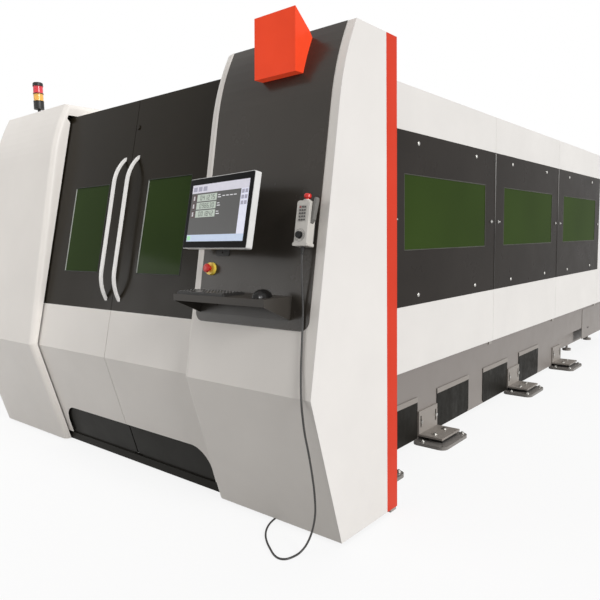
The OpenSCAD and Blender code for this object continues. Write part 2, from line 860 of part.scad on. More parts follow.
// Monitor: fixed wall mount, swivelling arm, and the screen that tilts on the arm
swivel_x = half_w - 560;
swivel_off = 52;
swivel_y = face_y(monitor_z) - swivel_off;
mount_plate = [80, 250, 6];
mount_shift = [14, 62];
ear_t = 9;
ear_r = 18;
ear_z = [monitor_z - 16, monitor_z + 40];
pin_r = 6;
pin_gap = 0.05;
knuckle_r = 16;
arm_x = 76;
arm_y = 26;
arm_t = 16;
lug_t = 8;
tilt_pin_r = 5;
tilt_back = 21;
boss_w = 40;
screen_t = 2;

// The arm's own frame, with its origin on the swivel axis at floor level
module at_swivel() {
    translate([swivel_x, swivel_y, 0]) rotate([0, 0, -monitor_turn]) children();
}

// The monitor's own frame, with its origin on the tilt axis: Z runs out towards the viewer
module at_tilt() {
    at_swivel() translate([arm_x, -arm_y, monitor_z]) rotate([90 - monitor_tilt, 0, 0]) children();
}

module monitor_mount() {
    color("#33322f") placed() difference() {
        union() {
            on_column(swivel_x, monitor_z, console_t) linear_extrude(mount_plate[2])
                translate([-mount_shift[0], -mount_shift[1]]) rounded(mount_plate[0], mount_plate[1], 6);
            for (z = ear_z) {
                translate([swivel_x, swivel_y, z]) cylinder(r = ear_r, h = ear_t);
                block([swivel_x - ear_r, swivel_y, z], [swivel_x + ear_r, face_y(z) - console_t - 2, z + ear_t]);
            }
            translate([swivel_x, swivel_y, ear_z[0]]) cylinder(r = pin_r, h = ear_z[1] - ear_z[0] + ear_t + 3);
        }
        for (s = [-1, 1]) on_column(swivel_x - mount_shift[0], monitor_z)
            translate([0, s * (mount_plate[1] / 2 - 15) - mount_shift[1], 0]) cylinder(r = 4, h = 3 * mount_plate[2]);
    }
}

module monitor_swivel() {
    low = ear_z[0] + ear_t + seat_gap;
    high = ear_z[1] - seat_gap;
    color("#33322f") placed() at_swivel() difference() {
        union() {
            translate([0, 0, low]) cylinder(r = knuckle_r, h = high - low);
            translate([0, -arm_t / 2, low]) cube([arm_x + boss_w / 2 + seat_gap + lug_t, arm_t, high - low]);
            for (s = [0, 1]) translate([arm_x, -arm_y, 0]) mirror([s, 0, 0]) {
                translate([boss_w / 2 + seat_gap, 0, low]) cube([lug_t, arm_y, high - low]);
                translate([boss_w / 2 + seat_gap, 0, monitor_z]) rotate([0, 90, 0]) cylinder(r = 2 * tilt_pin_r, h = lug_t);
            }
        }
        translate([0, 0, low - cut]) cylinder(r = pin_r + pin_gap, h = high - low + 2 * cut);
        translate([0, -arm_y, monitor_z]) rotate([0, 90, 0]) cylinder(r = tilt_pin_r + pin_gap, h = 2 * arm_x);
    }
}

module monitor_housing() {
    pin_l = boss_w + 2 * lug_t + 8;
    color("#e4e2de") placed() at_tilt() {
        translate([0, 0, tilt_back]) linear_extrude(monitor_t - screen_t) rounded(monitor_w, monitor_h, 8);
        translate([-boss_w / 2, -10, -10]) cube([boss_w, 20, tilt_back + 11]);
        translate([-pin_l / 2, 0, 0]) rotate([0, 90, 0]) cylinder(r = tilt_pin_r, h = pin_l);
    }
}

module monitor_screen() {
    color("#191918") placed() at_tilt() translate([0, 0, tilt_back + monitor_t - screen_t])
        linear_extrude(screen_t) rounded(monitor_w - 6, monitor_h - 6, 6);
}

// Tray, keyboard and mouse

tray_x1 = half_w - 144;
tray_x0 = tray_x1 - tray_w;
tray_t = 2.5;
tray_low_z = tray_z - 98;
tray_screw_x = 160;
tray_screw_z = 58;
tray_wall_y = face_y(tray_z) - console_t;

module keyboard_tray() {
    gusset = [[-tray_front_y, tray_z], [tray_wall_y - seat_gap, tray_z],
        [face_y(tray_low_z) - console_t - seat_gap, tray_low_z], [-tray_front_y, tray_z - lip_h]];
    color("#3a3936") placed() {
        block([tray_x0, -tray_front_y, tray_z - tray_t], [tray_x1, tray_wall_y - 1, tray_z]);
        block([tray_x0, -tray_front_y, tray_z - lip_h], [tray_x1, tray_t - tray_front_y, tray_z]);
        across(gusset, tray_x0, tray_x0 + tray_t);
        across(gusset, tray_x1 - tray_t, tray_x1);
        difference() {
            across([[tray_wall_y - seat_gap, tray_z], [face_y(tray_low_z) - console_t - seat_gap, tray_low_z],
                [face_y(tray_low_z) - console_t - tray_t, tray_low_z], [tray_wall_y - tray_t, tray_z]], tray_x0, tray_x1);
            for (s = [-1, 1]) on_column((tray_x0 + tray_x1) / 2 + s * tray_screw_x, tray_z - tray_screw_z, -cut)
                cylinder(r = 4, h = 20);
        }
    }
}

key_rows = 6;
key_columns = 15;
keyboard_w = 300;
keyboard_l = 128;
keyboard_h = 9;
keyboard_x = tray_x0 + 14;
keyboard_y = -tray_front_y + 6;
key_pitch = 19;
key_gap = 3;
key_h = 4;
mat_t = 1;

module keyboard_case() {
    color("#262523") placed() translate([keyboard_x, keyboard_y, tray_z]) difference() {
        translate([keyboard_w / 2, keyboard_l / 2, 0]) linear_extrude(keyboard_h) rounded(keyboard_w, keyboard_l, 8);
        translate([6, 6, keyboard_h - mat_t]) cube([keyboard_w - 12, keyboard_l - 12, mat_t + 1]);
    }
}

module keyboard_keys() {
    color("#302f2d") placed() translate([keyboard_x + 6.5, keyboard_y + 6.5, tray_z + keyboard_h - mat_t]) {
        cube([keyboard_w - 13, keyboard_l - 13, mat_t]);
        for (i = [0:key_columns - 1], j = [0:key_rows - 1])
            if (j > 0 || i < 4 || i > 8)
                translate([1 + i * key_pitch, 1 + j * key_pitch, mat_t - 0.5]) cube([key_pitch - key_gap, key_pitch - key_gap, key_h]);
        translate([1 + 4 * key_pitch, 1, mat_t - 0.5]) cube([5 * key_pitch - key_gap, key_pitch - key_gap, key_h]);
    }
}

mouse_x = half_w - 209;
mouse_y = -236;
mouse_l = 104;
mouse_w = 60;
mouse_h = 34;
wheel_r = 11;
wheel_t = 7;

module mouse_body() {
    color("#262523") placed() translate([mouse_x, mouse_y, tray_z]) difference() {
        intersection() {
            resize([mouse_w, mouse_l, 2 * mouse_h]) sphere(r = 30, $fn = 36);
            translate([-mouse_w, -mouse_l, 0]) cube([2 * mouse_w, 2 * mouse_l, 2 * mouse_h]);
        }
        translate([-wheel_t / 2 - seat_gap, 24, 8]) cube([wheel_t + 2 * seat_gap, 26, mouse_h]);
    }
}

module mouse_wheel() {
    color("#5a5854") placed() translate([mouse_x - wheel_t / 2, mouse_y + 37, tray_z + 20])
        rotate([0, 90, 0]) cylinder(r = wheel_r, h = wheel_t);
}

// Emergency stop

estop_x = console_x0 + 79;
estop_z = 1178;
estop_base_h = 14;
estop_stem_r = 11;
mushroom_low = 24;
mushroom_h = 18;
estop_travel = 5;

module estop_base() {
    color("#f2c32b") placed() on_column(estop_x, estop_z, console_t) difference() {
        cylinder(r1 = estop_r, r2 = estop_r - 2, h = estop_base_h);
        translate([0, 0, -cut]) cylinder(r = estop_stem_r + 0.5, h = estop_base_h + 2 * cut);
    }
}

module estop_button() {
    color("#d3302b") placed() on_column(estop_x, estop_z, console_t) rotate_extrude()
        polygon(concat([[0, estop_travel + 0.5], [estop_stem_r, estop_travel + 0.5], [estop_stem_r, mushroom_low],
            [mushroom_r - 3, mushroom_low], [mushroom_r, mushroom_low + 4]],
            [for (a = [0:15:90]) [mushroom_r * cos(a), mushroom_low + 10 + (mushroom_h - 10) * sin(a)]]));
}

// Hand pendant

pendant_x = half_w - 84;
pendant_z = 1361;
holder_t = 14;
pendant_back = console_t + holder_t;
pendant_front = pendant_back + pendant_t;
pendant_mid = (pendant_back + pendant_front) / 2;

magnet_r = 20;
magnet_h = 6;
foot_l = 14;
foot_flare = 3;

module pendant_holder() {
    color("#2b2a28") placed() on_column(pendant_x, pendant_z, console_t) {
        linear_extrude(holder_t - magnet_h) rounded(pendant_w - 16, pendant_l * 0.8, 6);
        for (s = [-1, 1]) translate([0, s * pendant_l / 4, 0]) cylinder(r = magnet_r, h = holder_t - seat_gap);
    }
}

// The enabling paddle on the pendant's side: its slot's length, its pin and its side outline
paddle_slot_l = 26;
paddle_z = 12;
paddle_w = 20;
paddle_pin = [-3, 6];
paddle_pin_r = 2;
paddle_outline = [[-6, 2], [0, 2], [11, 16], [20, 94], [17, 104], [10, 103], [7, 92], [2, 26], [-6, 12]];

module pendant_body() {
    color("#b9b5af") placed() on_column(pendant_x, pendant_z, pendant_back) difference() {
        union() {
            hull() {
                translate([0, 0, 3]) linear_extrude(pendant_t - 6) rounded(pendant_w, pendant_l, 10);
                linear_extrude(pendant_t) rounded(pendant_w - 6, pendant_l - 6, 8);
            }
            translate([0, pendant_l / 2 - 1, pendant_t / 2]) rotate([-90, 0, 0]) cylinder(r = 15, h = 7);
            translate([0, (foot_l - pendant_l) / 2, 0]) linear_extrude(pendant_t + 1)
                rounded(pendant_w + 2 * foot_flare, foot_l, 5);
        }
        translate([0, pendant_l / 2 - 20, pendant_t / 2]) rotate([-90, 0, 0]) cylinder(r = 8.5, h = 40);
        translate([pendant_w / 2 - 8, 0, paddle_z]) cube([20, paddle_slot_l, paddle_w]);
        translate([pendant_w / 2 + paddle_pin[0], paddle_pin[1], paddle_z - 3])
            cylinder(r = paddle_pin_r + pin_gap, h = paddle_w + 6);
        translate([-20, 6, pendant_t - 1]) cube([40, 66, 3]);
        translate([-4, -48, pendant_t - 8]) cylinder(r = 4.2, h = 10);
    }
}

module pendant_keypad() {
    color("#8d8a85") placed() on_column(pendant_x, pendant_z, pendant_front - 1) {
        translate([-19.7, 6.3, 0]) cube([39.4, 65.4, 0.8]);
        for (i = [-1:1], j = [0:4]) translate([i * 12.5 - 4.5, 9 + j * 12.8, 0.7]) cube([9, 8, 1.8]);
    }
}

module pendant_estop() {
    color("#d3302b") placed() on_column(pendant_x, pendant_z, pendant_back + pendant_t / 2)
        translate([0, pendant_l / 2, 0]) rotate([-90, 0, 0]) rotate_extrude() polygon([[0, -8], [8, -8], [8, 13],
            [13, 13], [15, 16], [15, 26], [12, 30], [6, 31.5], [0, 31.5]]);
}

module pendant_knob() {
    color("#2b2a28") placed() on_column(pendant_x - 4, pendant_z, pendant_front + 0.4) translate([0, -48, 0]) {
        difference() {
            cylinder(r1 = 15, r2 = 13.5, h = 12, $fn = 36);
            for (a = [0:30:330]) rotate(a) translate([15.5, 0, 2]) cylinder(r = 2, h = 12, $fn = 16);
        }
        translate([0, 0, -7]) cylinder(r = 4, h = 8);
    }
}

module pendant_enable_switch() {
    color("#8d8a85") placed() on_column(pendant_x + pendant_w / 2, pendant_z, pendant_back + paddle_z) {
        translate([0, 0, seat_gap]) linear_extrude(paddle_w - 2 * seat_gap) polygon(paddle_outline);
        translate([paddle_pin[0], paddle_pin[1], 0.1 - 3]) cylinder(r = paddle_pin_r, h = paddle_w + 5.8);
    }
}

// Cable

gland_l = 30;

module cable_glands() {
    color("#2b2a28") placed() {
        on_column(pendant_x, pendant_z, pendant_mid) translate([0, -pendant_l / 2, 0]) rotate([90, 0, 0]) {
            cylinder(r1 = 9, r2 = cable_d / 2 + 1.2, h = gland_l);
            for (i = [0:4]) translate([0, 0, 4 + 5 * i]) cylinder(r = 8.6 - 0.5 * i, h = 2.5);
        }
        translate([gland_x, gland_y, gland_top_z - 24]) cylinder(r = 14, h = 24);
        translate([gland_x, gland_y, gland_top_z - 32]) cylinder(r = 10, h = 9);
        translate([gland_x, gland_y, gland_top_z - 1]) cylinder(r = gland_r - 0.2, h = shelf_t + 8);
    }
}

// The cable's route: from the pendant down the column's face, round the floor and under the column
cable_route = [[1436, -132, 1248.5], [1437, -136, 1206], [1439, -139, 1150], [1442, -141, 1090], [1446, -145, 1030],
    [1450, -153, 965], [1455, -166, 890], [1463, -184, 790], [1478, -204, 690], [1485, -208, 630],
    [1486, -196, 545], [1483, -170, 455], [1480, -146, 360], [1474, -124, 265], [1465, -110, 175],
    [1447, -108, 95], [1428, -122, 36], [1415, -150, 7], [1413, -190, 5], [1401, -226, 5],
    [1374, -240, 5], [1338, -231, 5], [1294, -205, 5], [1248, -174, 5], [1206, -138, 5],
    [1170, -95, 5], [1142, -44, 5], [1126, 10, 5], [1120, 60, 5], [1120, 97, 19],
    [1120, 111, 52], [1120, 111, 63.7]];
cable_sides = 8;
rings_per_span = 2;

// A smooth curve through the points, at parameter t of span i
function end_point(p, i) = p[max(0, min(len(p) - 1, i))];
function through(p, i, t) = let (a = end_point(p, i - 1), b = p[i], c = p[i + 1], d = end_point(p, i + 2))
    0.5 * (2 * b + (c - a) * t + (2 * a - 5 * b + 4 * c - d) * t * t + (3 * b - a - 3 * c + d) * t * t * t);

module pendant_cable() {
    spans = len(cable_route) - 1;
    line = concat([for (i = [0:spans - 1], k = [0:rings_per_span - 1]) through(cable_route, i, k / rings_per_span)],
        [cable_route[spans]]);
    last = len(line) - 1;
    side_hint = [0.5, -0.5, 0.7];
    points = [for (i = [0:last])
        let (ahead = line[min(last, i + 1)] - line[max(0, i - 1)], u = cross(ahead, side_hint) / norm(cross(ahead, side_hint)),
            v = cross(ahead, u) / norm(ahead))
        for (k = [0:cable_sides - 1]) line[i] + cable_d / 2 * (u * cos(360 * k / cable_sides) + v * sin(360 * k / cable_sides))];
    walls = [for (i = [0:last - 1], k = [0:cable_sides - 1]) let (m = (k + 1) % cable_sides)
        [i * cable_sides + m, i * cable_sides + k, (i + 1) * cable_sides + k, (i + 1) * cable_sides + m]];
    caps = [[for (k = [0:cable_sides - 1]) k], [for (k = [cable_sides - 1:-1:0]) last * cable_sides + k]];
    color("#34332f") placed() polyhedron(points, concat(walls, caps), convexity = 8);
}

// Body panels

module side_panels() {
    color("#e9e7e3") placed() both_sides() {
        for (i = [0:3]) {
            y0 = seams[i] + (i == 0 ? sheet_t + seat_gap : panel_gap / 2);
            y1 = seams[i + 1] - panel_gap / 2;
            folded_panel(body_half_w, panel_depth, y0, y1, band_high_z + 1, body_h);
            folded_panel(body_half_w, panel_depth, y0, y1, skirt_z, band_low_z - 1);
        }
        folded_panel(body_half_w, panel_depth, seams[4] + panel_gap / 2, body_rear - sheet_t - seat_gap, skirt_z, body_h);
    }
}

module side_window_panels() {
    color("#3f3d3a") placed() both_sides() {
        folded_panel(body_half_w, panel_depth, seams[0] + sheet_t + seat_gap, seams[1] - panel_gap / 2, band_low_z, band_high_z);
        for (i = [1:3]) difference() {
            folded_panel(body_half_w, panel_depth, seams[i] + panel_gap / 2, seams[i + 1] - panel_gap / 2, band_low_z, band_high_z);
            translate([body_half_w - 2 * cut, (seams[i] + seams[i + 1]) / 2, side_window_z]) rotate([90, 0, 90])
                linear_extrude(3 * cut) rounded(side_window_w, side_window_h, 4);
        }
    }
}

module side_windows() {
    color("#3b5a28", 0.8) placed() both_sides() for (i = [1:3])
        translate([body_half_w - sheet_t - pane_t, (seams[i] + seams[i + 1]) / 2, side_window_z]) rotate([90, 0, 90])
            linear_extrude(pane_t) rounded(side_window_w + 2 * pane_lap, side_window_h + 2 * pane_lap, 6);
}

bed_gap = 30;
bed_w = 120;
bed_x1 = frame_x - tube_w - bed_gap;
bed_x0 = bed_x1 - bed_w;
pallet_w = 2 * (bed_x0 - pallet_margin);
slot_half_w = pallet_w / 2 + 45;
slot_low_z = pallet_z - 25;
slot_top_z = pallet_z + 185;

module roof_panels() {
    color("#dedbd6") placed() {
        for (i = [0:4]) block([seat_gap - frame_x, seams[i] + (i == 0 ? sheet_t + seat_gap : panel_gap / 2), body_h - sheet_t],
            [frame_x - seat_gap, seams[i + 1] - (i == 4 ? sheet_t + seat_gap : panel_gap / 2), body_h]);
        across([[header_y + 10, header_top_z], [header_y + header_d, header_top_z], [module_rear, body_h - 2 * sheet_t],
            [module_rear, body_h - sheet_t], [header_y + header_d, header_top_z + sheet_t], [header_y + 10, header_top_z + sheet_t]],
            opening_left + seat_gap, opening_right - seat_gap);
    }
}

module rear_wall() {
    color("#e9e7e3") placed() difference() {
        block([-body_half_w, body_rear - sheet_t, skirt_z], [body_half_w, body_rear, body_h]);
        block([-slot_half_w, body_rear - sheet_t - cut, slot_low_z], [slot_half_w, body_rear + cut, slot_top_z]);
    }
}

// Cutting unit

bed_top_z = 1000;
bed_y0 = gantry_y - 300;
bed_y1 = gantry_y + gantry_travel + 300;
guide_w = 24;
guide_h = 22;
guide_x = (bed_x0 + bed_x1) / 2;
pallet_rail_x = pallet_w / 2 - 70;
pallet_rail_w = 30;

module machine_beds() {
    color("#9b968f") placed() both_sides() {
        difference() {
            block([bed_x0, bed_y0, beam_top_z], [bed_x1, bed_y1, bed_top_z]);
            for (i = [0:5]) translate([bed_x0 - cut, bed_y0 + 150 + i * (bed_y1 - bed_y0) / 6, beam_top_z + 150])
                cube([bed_x1 - bed_x0 - 20, 300, 220]);
        }
        block([guide_x - guide_w / 2, bed_y0 + 20, bed_top_z - 1], [guide_x + guide_w / 2, bed_y1 - 20, bed_top_z + guide_h]);
        block([pallet_rail_x - pallet_rail_w / 2, pallet_y - 40, cross_top_z],
            [pallet_rail_x + pallet_rail_w / 2, body_rear - sheet_t - seat_gap, pallet_z - seat_gap]);
    }
}

tray_rim_z = 420;
tray_gap = 20;

module scrap_trays() {
    color("#6f6b66") placed() for (i = [1:3]) {
        y0 = cross_members[i] - cross_w / 2 + tray_gap;
        y1 = cross_members[i + 1] - cross_w / 2;
        x = pallet_rail_x - pallet_rail_w / 2 - tray_gap;
        difference() {
            block([-x, y0, cross_top_z], [x, y1, tray_rim_z]);
            block([sheet_t - x, y0 + sheet_t, cross_top_z + sheet_t], [x - sheet_t, y1 - sheet_t, tray_rim_z + cut]);
        }
    }
}

gantry_w = 220;
gantry_low_z = bed_top_z + guide_h + 66;
gantry_h = 230;
gantry_top_z = gantry_low_z + gantry_h;
truck_l = 320;
cross_rail_z = [gantry_low_z + 45, gantry_top_z - 65];

module gantry_beam() {
    front = gantry_y - gantry_w / 2;
    color("#c9c5bf") placed() {
        difference() {
            block([-bed_x1, front, gantry_low_z], [bed_x1, gantry_y + gantry_w / 2, gantry_top_z]);
            block([-bed_x1 - cut, front + 12, gantry_low_z + 12], [bed_x1 + cut, gantry_y + gantry_w / 2 - 12, gantry_top_z - 12]);
        }
        for (z = cross_rail_z) block([-bed_x0, front - guide_h, z], [bed_x0, front + 1, z + 20]);
        both_sides() difference() {
            block([bed_x0, gantry_y - truck_l / 2, bed_top_z + 2], [bed_x1, gantry_y + truck_l / 2, gantry_low_z + 1]);
            block([guide_x - guide_w / 2 - 0.5, gantry_y - truck_l, bed_top_z - cut],
                [guide_x + guide_w / 2 + 0.5, gantry_y + truck_l, bed_top_z + guide_h + 0.5]);
        }
    }
}

carriage_x = -600;
carriage_w = 240;
carriage_back = gantry_y - gantry_w / 2 - 2;
carriage_front = carriage_back - guide_h - 22;
column_slide_w = 40;

module cross_carriage() {
    color("#a7a39d") placed() translate([carriage_x, 0, 0]) {
        difference() {
            block([-carriage_w / 2, carriage_front, gantry_low_z + 10], [carriage_w / 2, carriage_back, gantry_top_z - 10]);
            for (z = cross_rail_z) block([-carriage_w, carriage_back - guide_h + 1, z - 0.5], [carriage_w, carriage_back + cut, z + 20.5]);
        }
        block([-column_slide_w / 2, carriage_front - 20, gantry_low_z + 20], [column_slide_w / 2, carriage_front + 1, gantry_top_z + 120]);
        block([-30, carriage_front + 6, gantry_top_z - 11], [30, carriage_back - 6, gantry_top_z + 100]);
    }
}

slat_top_z = pallet_z + 80 + slat_h;
head_y = carriage_front - 90;
head_travel = 120;
tip_z = slat_top_z + head_travel + 8;

module cutting_head() {
    color("#e4e2de") placed() translate([carriage_x, 0, 0]) {
        difference() {
            block([-70, carriage_front - 42, gantry_low_z + 40], [70, carriage_front - 2, gantry_top_z - 10]);
            block([-column_slide_w / 2 - 0.5, carriage_front - 20.5, gantry_low_z], [column_slide_w / 2 + 0.5, carriage_front, gantry_top_z]);
        }
        translate([0, head_y, 0]) rotate_extrude() polygon([[0, tip_z], [3, tip_z], [9, tip_z + 16], [14, tip_z + 18],
            [14, tip_z + 34], [38, tip_z + 70], [52, tip_z + 80], [52, tip_z + 210], [44, tip_z + 216],
            [44, tip_z + 330], [24, tip_z + 342], [24, tip_z + 360], [0, tip_z + 360]]);
    }
}

frame_rail_w = 50;
frame_rail_h = 80;
runner_h = 14;

module pallet_frame() {
    color("#7d7a75") placed() {
        half = pallet_w / 2;
        y1 = pallet_y + pallet_l;
        both_sides() {
            block([half - frame_rail_w, pallet_y, pallet_z], [half, y1, pallet_z + frame_rail_h]);
            block([pallet_rail_x - pallet_rail_w / 2, pallet_y + frame_rail_w + seat_gap, pallet_z],
                [half - frame_rail_w - seat_gap, y1 - frame_rail_w - seat_gap, pallet_z + runner_h]);
        }
        for (y = [pallet_y, y1 - frame_rail_w]) block([frame_rail_w + seat_gap - half, y, pallet_z],
            [half - frame_rail_w - seat_gap, y + frame_rail_w, pallet_z + frame_rail_h]);
    }
}

// One slat's side outline: a strip with a row of pointed teeth along its top
slat_l = pallet_w - 20;
tooth = slat_l / slat_teeth;
function slat_outline() = concat([[0, 0]], [for (i = [0:slat_teeth - 1], k = [0, 1])
    [tooth * (i + k * 0.5), k == 0 ? slat_h * 0.7 : slat_h]], [[slat_l, slat_h * 0.7], [slat_l, 0]]);

module pallet_slats() {
    pitch = (pallet_l - 2 * frame_rail_w) / slat_count;
    color("#8a8680") placed() for (i = [0:slat_count - 1])
        translate([-slat_l / 2, pallet_y + frame_rail_w + (i + 0.5) * pitch + slat_t / 2, pallet_z + frame_rail_h])
            rotate([90, 0, 0]) linear_extrude(slat_t) polygon(slat_outline());
}

base_beams();
base_cross_members();
floor_plates();
foot_brackets();
foot_shoes();
rubber_flaps();
bolts_and_screws();
left_column_skin();
right_column_skin();
column_side_panels();
column_inner_panels();
side_trims();
cabin_frame();
door_rails();
console_panel();
sign_box();
signal_light_body();
signal_light_amber();
signal_light_red();
monitor_mount();
monitor_swivel();
monitor_housing();
monitor_screen();
keyboard_tray();
keyboard_case();
keyboard_keys();
mouse_body();
mouse_wheel();
estop_base();
estop_button();
pendant_holder();
pendant_body();
pendant_keypad();
pendant_estop();
pendant_knob();
pendant_enable_switch();
cable_glands();
pendant_cable();
left_door_skin();
left_door_panel();
left_door_window();
left_door_handle();
left_door_frame();
right_door_skin();
right_door_panel();
right_door_window();
right_door_handle();
right_door_frame();
side_panels();
side_window_panels();
side_windows();
roof_panels();
rear_wall();
machine_beds();
scrap_trays();
gantry_beam();
cross_carriage();
cutting_head();
pallet_frame();
pallet_slats();
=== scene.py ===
"""Looks of the fibre laser cutting machine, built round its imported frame.

Lengths are in metres. X runs to the right, Y to the back and Z up from the floor. Sizes and places are those of
the part's source, whose Y starts at the columns' lower front edge: the frame's origin lies MIDDLE_Y behind it.
"""
import json
import math

import bmesh
import bpy
from mathutils import Matrix, Vector


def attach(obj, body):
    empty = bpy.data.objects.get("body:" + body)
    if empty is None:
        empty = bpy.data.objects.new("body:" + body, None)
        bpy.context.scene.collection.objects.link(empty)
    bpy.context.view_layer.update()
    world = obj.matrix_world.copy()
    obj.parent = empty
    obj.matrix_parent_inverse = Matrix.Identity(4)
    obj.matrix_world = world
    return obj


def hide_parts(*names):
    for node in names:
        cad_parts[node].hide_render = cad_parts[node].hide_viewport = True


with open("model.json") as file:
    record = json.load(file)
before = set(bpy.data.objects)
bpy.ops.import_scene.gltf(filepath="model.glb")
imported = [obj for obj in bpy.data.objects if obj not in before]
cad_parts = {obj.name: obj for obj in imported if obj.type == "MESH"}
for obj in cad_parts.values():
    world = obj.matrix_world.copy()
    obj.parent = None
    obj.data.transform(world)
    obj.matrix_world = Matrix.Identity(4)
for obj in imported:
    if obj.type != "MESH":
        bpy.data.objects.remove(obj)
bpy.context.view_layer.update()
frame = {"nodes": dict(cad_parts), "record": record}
nodes = frame["nodes"]
scene = bpy.context.scene

SIDES = ((1, "right"), (-1, "left"))

# Camera, solved from the photograph
YAW, PITCH, ROLL = 0.6915, -0.1027, -0.0174
CAMERA_AT = Vector((2.9548, -4.8958, 1.3129))
LENS_MM, SENSOR_MM = 36.117, 36.0
CLIP_NEAR, CLIP_FAR = 0.05, 200

# The part's own sizes, as in its source
MIDDLE_Y = 2.9115
NOSE_Y, NOSE_Z = -0.197, 0.677
FACE_LEAN, DOOR_LEAN = math.radians(10.4), math.radians(12.4)
DOOR_NOSE_Y, DOOR_NOSE_Z = -0.147, 0.672
SEAM_X = 0.017
BODY_HALF_W = 1.170


def make_camera():
    forward = Vector((-math.sin(YAW) * math.cos(PITCH), math.cos(YAW) * math.cos(PITCH), math.sin(PITCH)))
    right = Vector((math.cos(YAW), math.sin(YAW), 0))
    up = right.cross(forward)
    across = math.cos(ROLL) * right + math.sin(ROLL) * up
    upward = math.cos(ROLL) * up - math.sin(ROLL) * right
    matrix = Matrix((across, upward, -forward)).transposed().to_4x4()
    matrix.translation = CAMERA_AT
    data = bpy.data.cameras.new("camera")
    data.lens, data.sensor_width = LENS_MM, SENSOR_MM
    data.clip_start, data.clip_end = CLIP_NEAR, CLIP_FAR
    camera = bpy.data.objects.new("camera", data)
    camera.matrix_world = matrix
    scene.collection.objects.link(camera)
    scene.camera = camera


make_camera()


# Materials

NOISE_RANGE = (0.3, 0.7)
DUST, DUST_TOP, DUST_PATCHES = (0.40, 0.36, 0.31), 0.42, (0.35, 0.75)
WEAR_RANGE = (0.42, 0.78)
# Joint edges: a painted highlight at the top, fading over these heights into painted shade
SEAM_FADE, SEAM_PAINTED_SHADE, SEAM_PAINTED_HIGHLIGHT = (1.30, 1.86), (0.075, 0.072, 0.068), (0.62, 0.61, 0.59)
FINE_PEEL = 0.00003


class Graph:
    """The node tree of a material or a world, with short calls to add and link its nodes."""

    def __init__(self, owner):
        owner.use_nodes = True
        self.owner, self.tree = owner, owner.node_tree
        self.tree.nodes.clear()

    def add(self, kind, **values):
        node = self.tree.nodes.new(kind)
        for key, value in values.items():
            setattr(node, key, value)
        return node

    def link(self, source, target):
        self.tree.links.new(source, target)

    def place(self):
        return self.add("ShaderNodeTexCoord").outputs["Object"]

    def height(self):
        node = self.add("ShaderNodeSeparateXYZ")
        self.link(self.place(), node.inputs["Vector"])
        return node.outputs["Z"]

    def stretched(self, scale):
        mapping = self.add("ShaderNodeMapping")
        mapping.inputs["Scale"].default_value = scale
        self.link(self.place(), mapping.inputs["Vector"])
        return mapping.outputs["Vector"]

    def noise(self, scale, detail, vector=None, roughness=0.55):
        node = self.add("ShaderNodeTexNoise")
        for name, number in (("Scale", scale), ("Detail", detail), ("Roughness", roughness)):
            node.inputs[name].default_value = number
        self.link(vector or self.place(), node.inputs["Vector"])
        return node.outputs["Fac"]

    def ranged(self, value, low, high, to_low, to_high):
        node = self.add("ShaderNodeMapRange")
        for name, number in (("From Min", low), ("From Max", high), ("To Min", to_low), ("To Max", to_high)):
            node.inputs[name].default_value = number
        self.link(value, node.inputs["Value"])
        return node.outputs["Result"]

    def varied(self, scale, detail, to_low=0, to_high=1):
        """Noise, drawn out from its usual range to the given one."""
        return self.ranged(self.noise(scale, detail), *NOISE_RANGE, to_low, to_high)

    def paired(self, operation, a, b):
        node = self.add("ShaderNodeMath", operation=operation)
        self.link(a, node.inputs[0])
        self.link(b, node.inputs[1])
        return node.outputs["Value"]

    def mixed(self, factor, a, b):
        node = self.add("ShaderNodeMix", data_type="RGBA")
        self.link(factor, node.inputs["Factor"])
        for socket, colour in ((node.inputs[6], a), (node.inputs[7], b)):
            if isinstance(colour, tuple):
                socket.default_value = (*colour, 1)
            else:
                self.link(colour, socket)
        return node.outputs[2]

    def tinted(self, factor, colour, low, high):
        """A colour that drifts between a darker and a lighter shade of itself."""
        return self.mixed(factor, shade(colour, low), shade(colour, high))

    def bump(self, height, distance, under=None):
        node = self.add("ShaderNodeBump")
        node.inputs["Distance"].default_value = distance
        node.inputs["Strength"].default_value = 1.0
        self.link(height, node.inputs["Height"])
        if under is not None:
            self.link(under, node.inputs["Normal"])
        return node.outputs["Normal"]

    def shader(self, colour, roughness, normal=None, **values):
        node = self.add("ShaderNodeBsdfPrincipled")
        out = self.add("ShaderNodeOutputMaterial")
        self.link(colour, node.inputs["Base Color"])
        self.link(roughness, node.inputs["Roughness"])
        if normal is not None:
            self.link(normal, node.inputs["Normal"])
        if "Emission_Strength" in values:
            self.link(colour, node.inputs["Emission Color"])
        for key, value in values.items():
            node.inputs[key.replace("_", " ")].default_value = value
        self.link(node.outputs["BSDF"], out.inputs["Surface"])
        return self.owner


def material_graph(name):
    return Graph(bpy.data.materials.new(name))


def shade(colour, factor):
    return tuple(min(1.0, c * factor) for c in colour)


def paint(name, colour, rough, spread=0.035, peel=0.00006, dust=0.10, **values):
    """Powder coat: slow colour drift, fine orange peel, and a little dust towards the floor."""
    g = material_graph(name)
    base = g.tinted(g.varied(1.7, 4), colour, 1 - spread, 1 + spread)
    near_floor = g.ranged(g.height(), 0.0, DUST_TOP, dust, 0.0)
    patches = g.ranged(g.noise(9, 5), *DUST_PATCHES, 0.3, 1.0)
    coloured = g.mixed(g.paired("MULTIPLY", near_floor, patches), base, DUST)
    roughness = g.varied(6, 4, rough - 0.04, rough + 0.05)
    return g.shader(coloured, roughness, g.bump(g.noise(620, 2), peel), **values)


def dark_panel(name, colour, rough, **values):
    """A smooth dark coat without dust."""
    return paint(name, colour, rough, dust=0.0, peel=FINE_PEEL, **values)


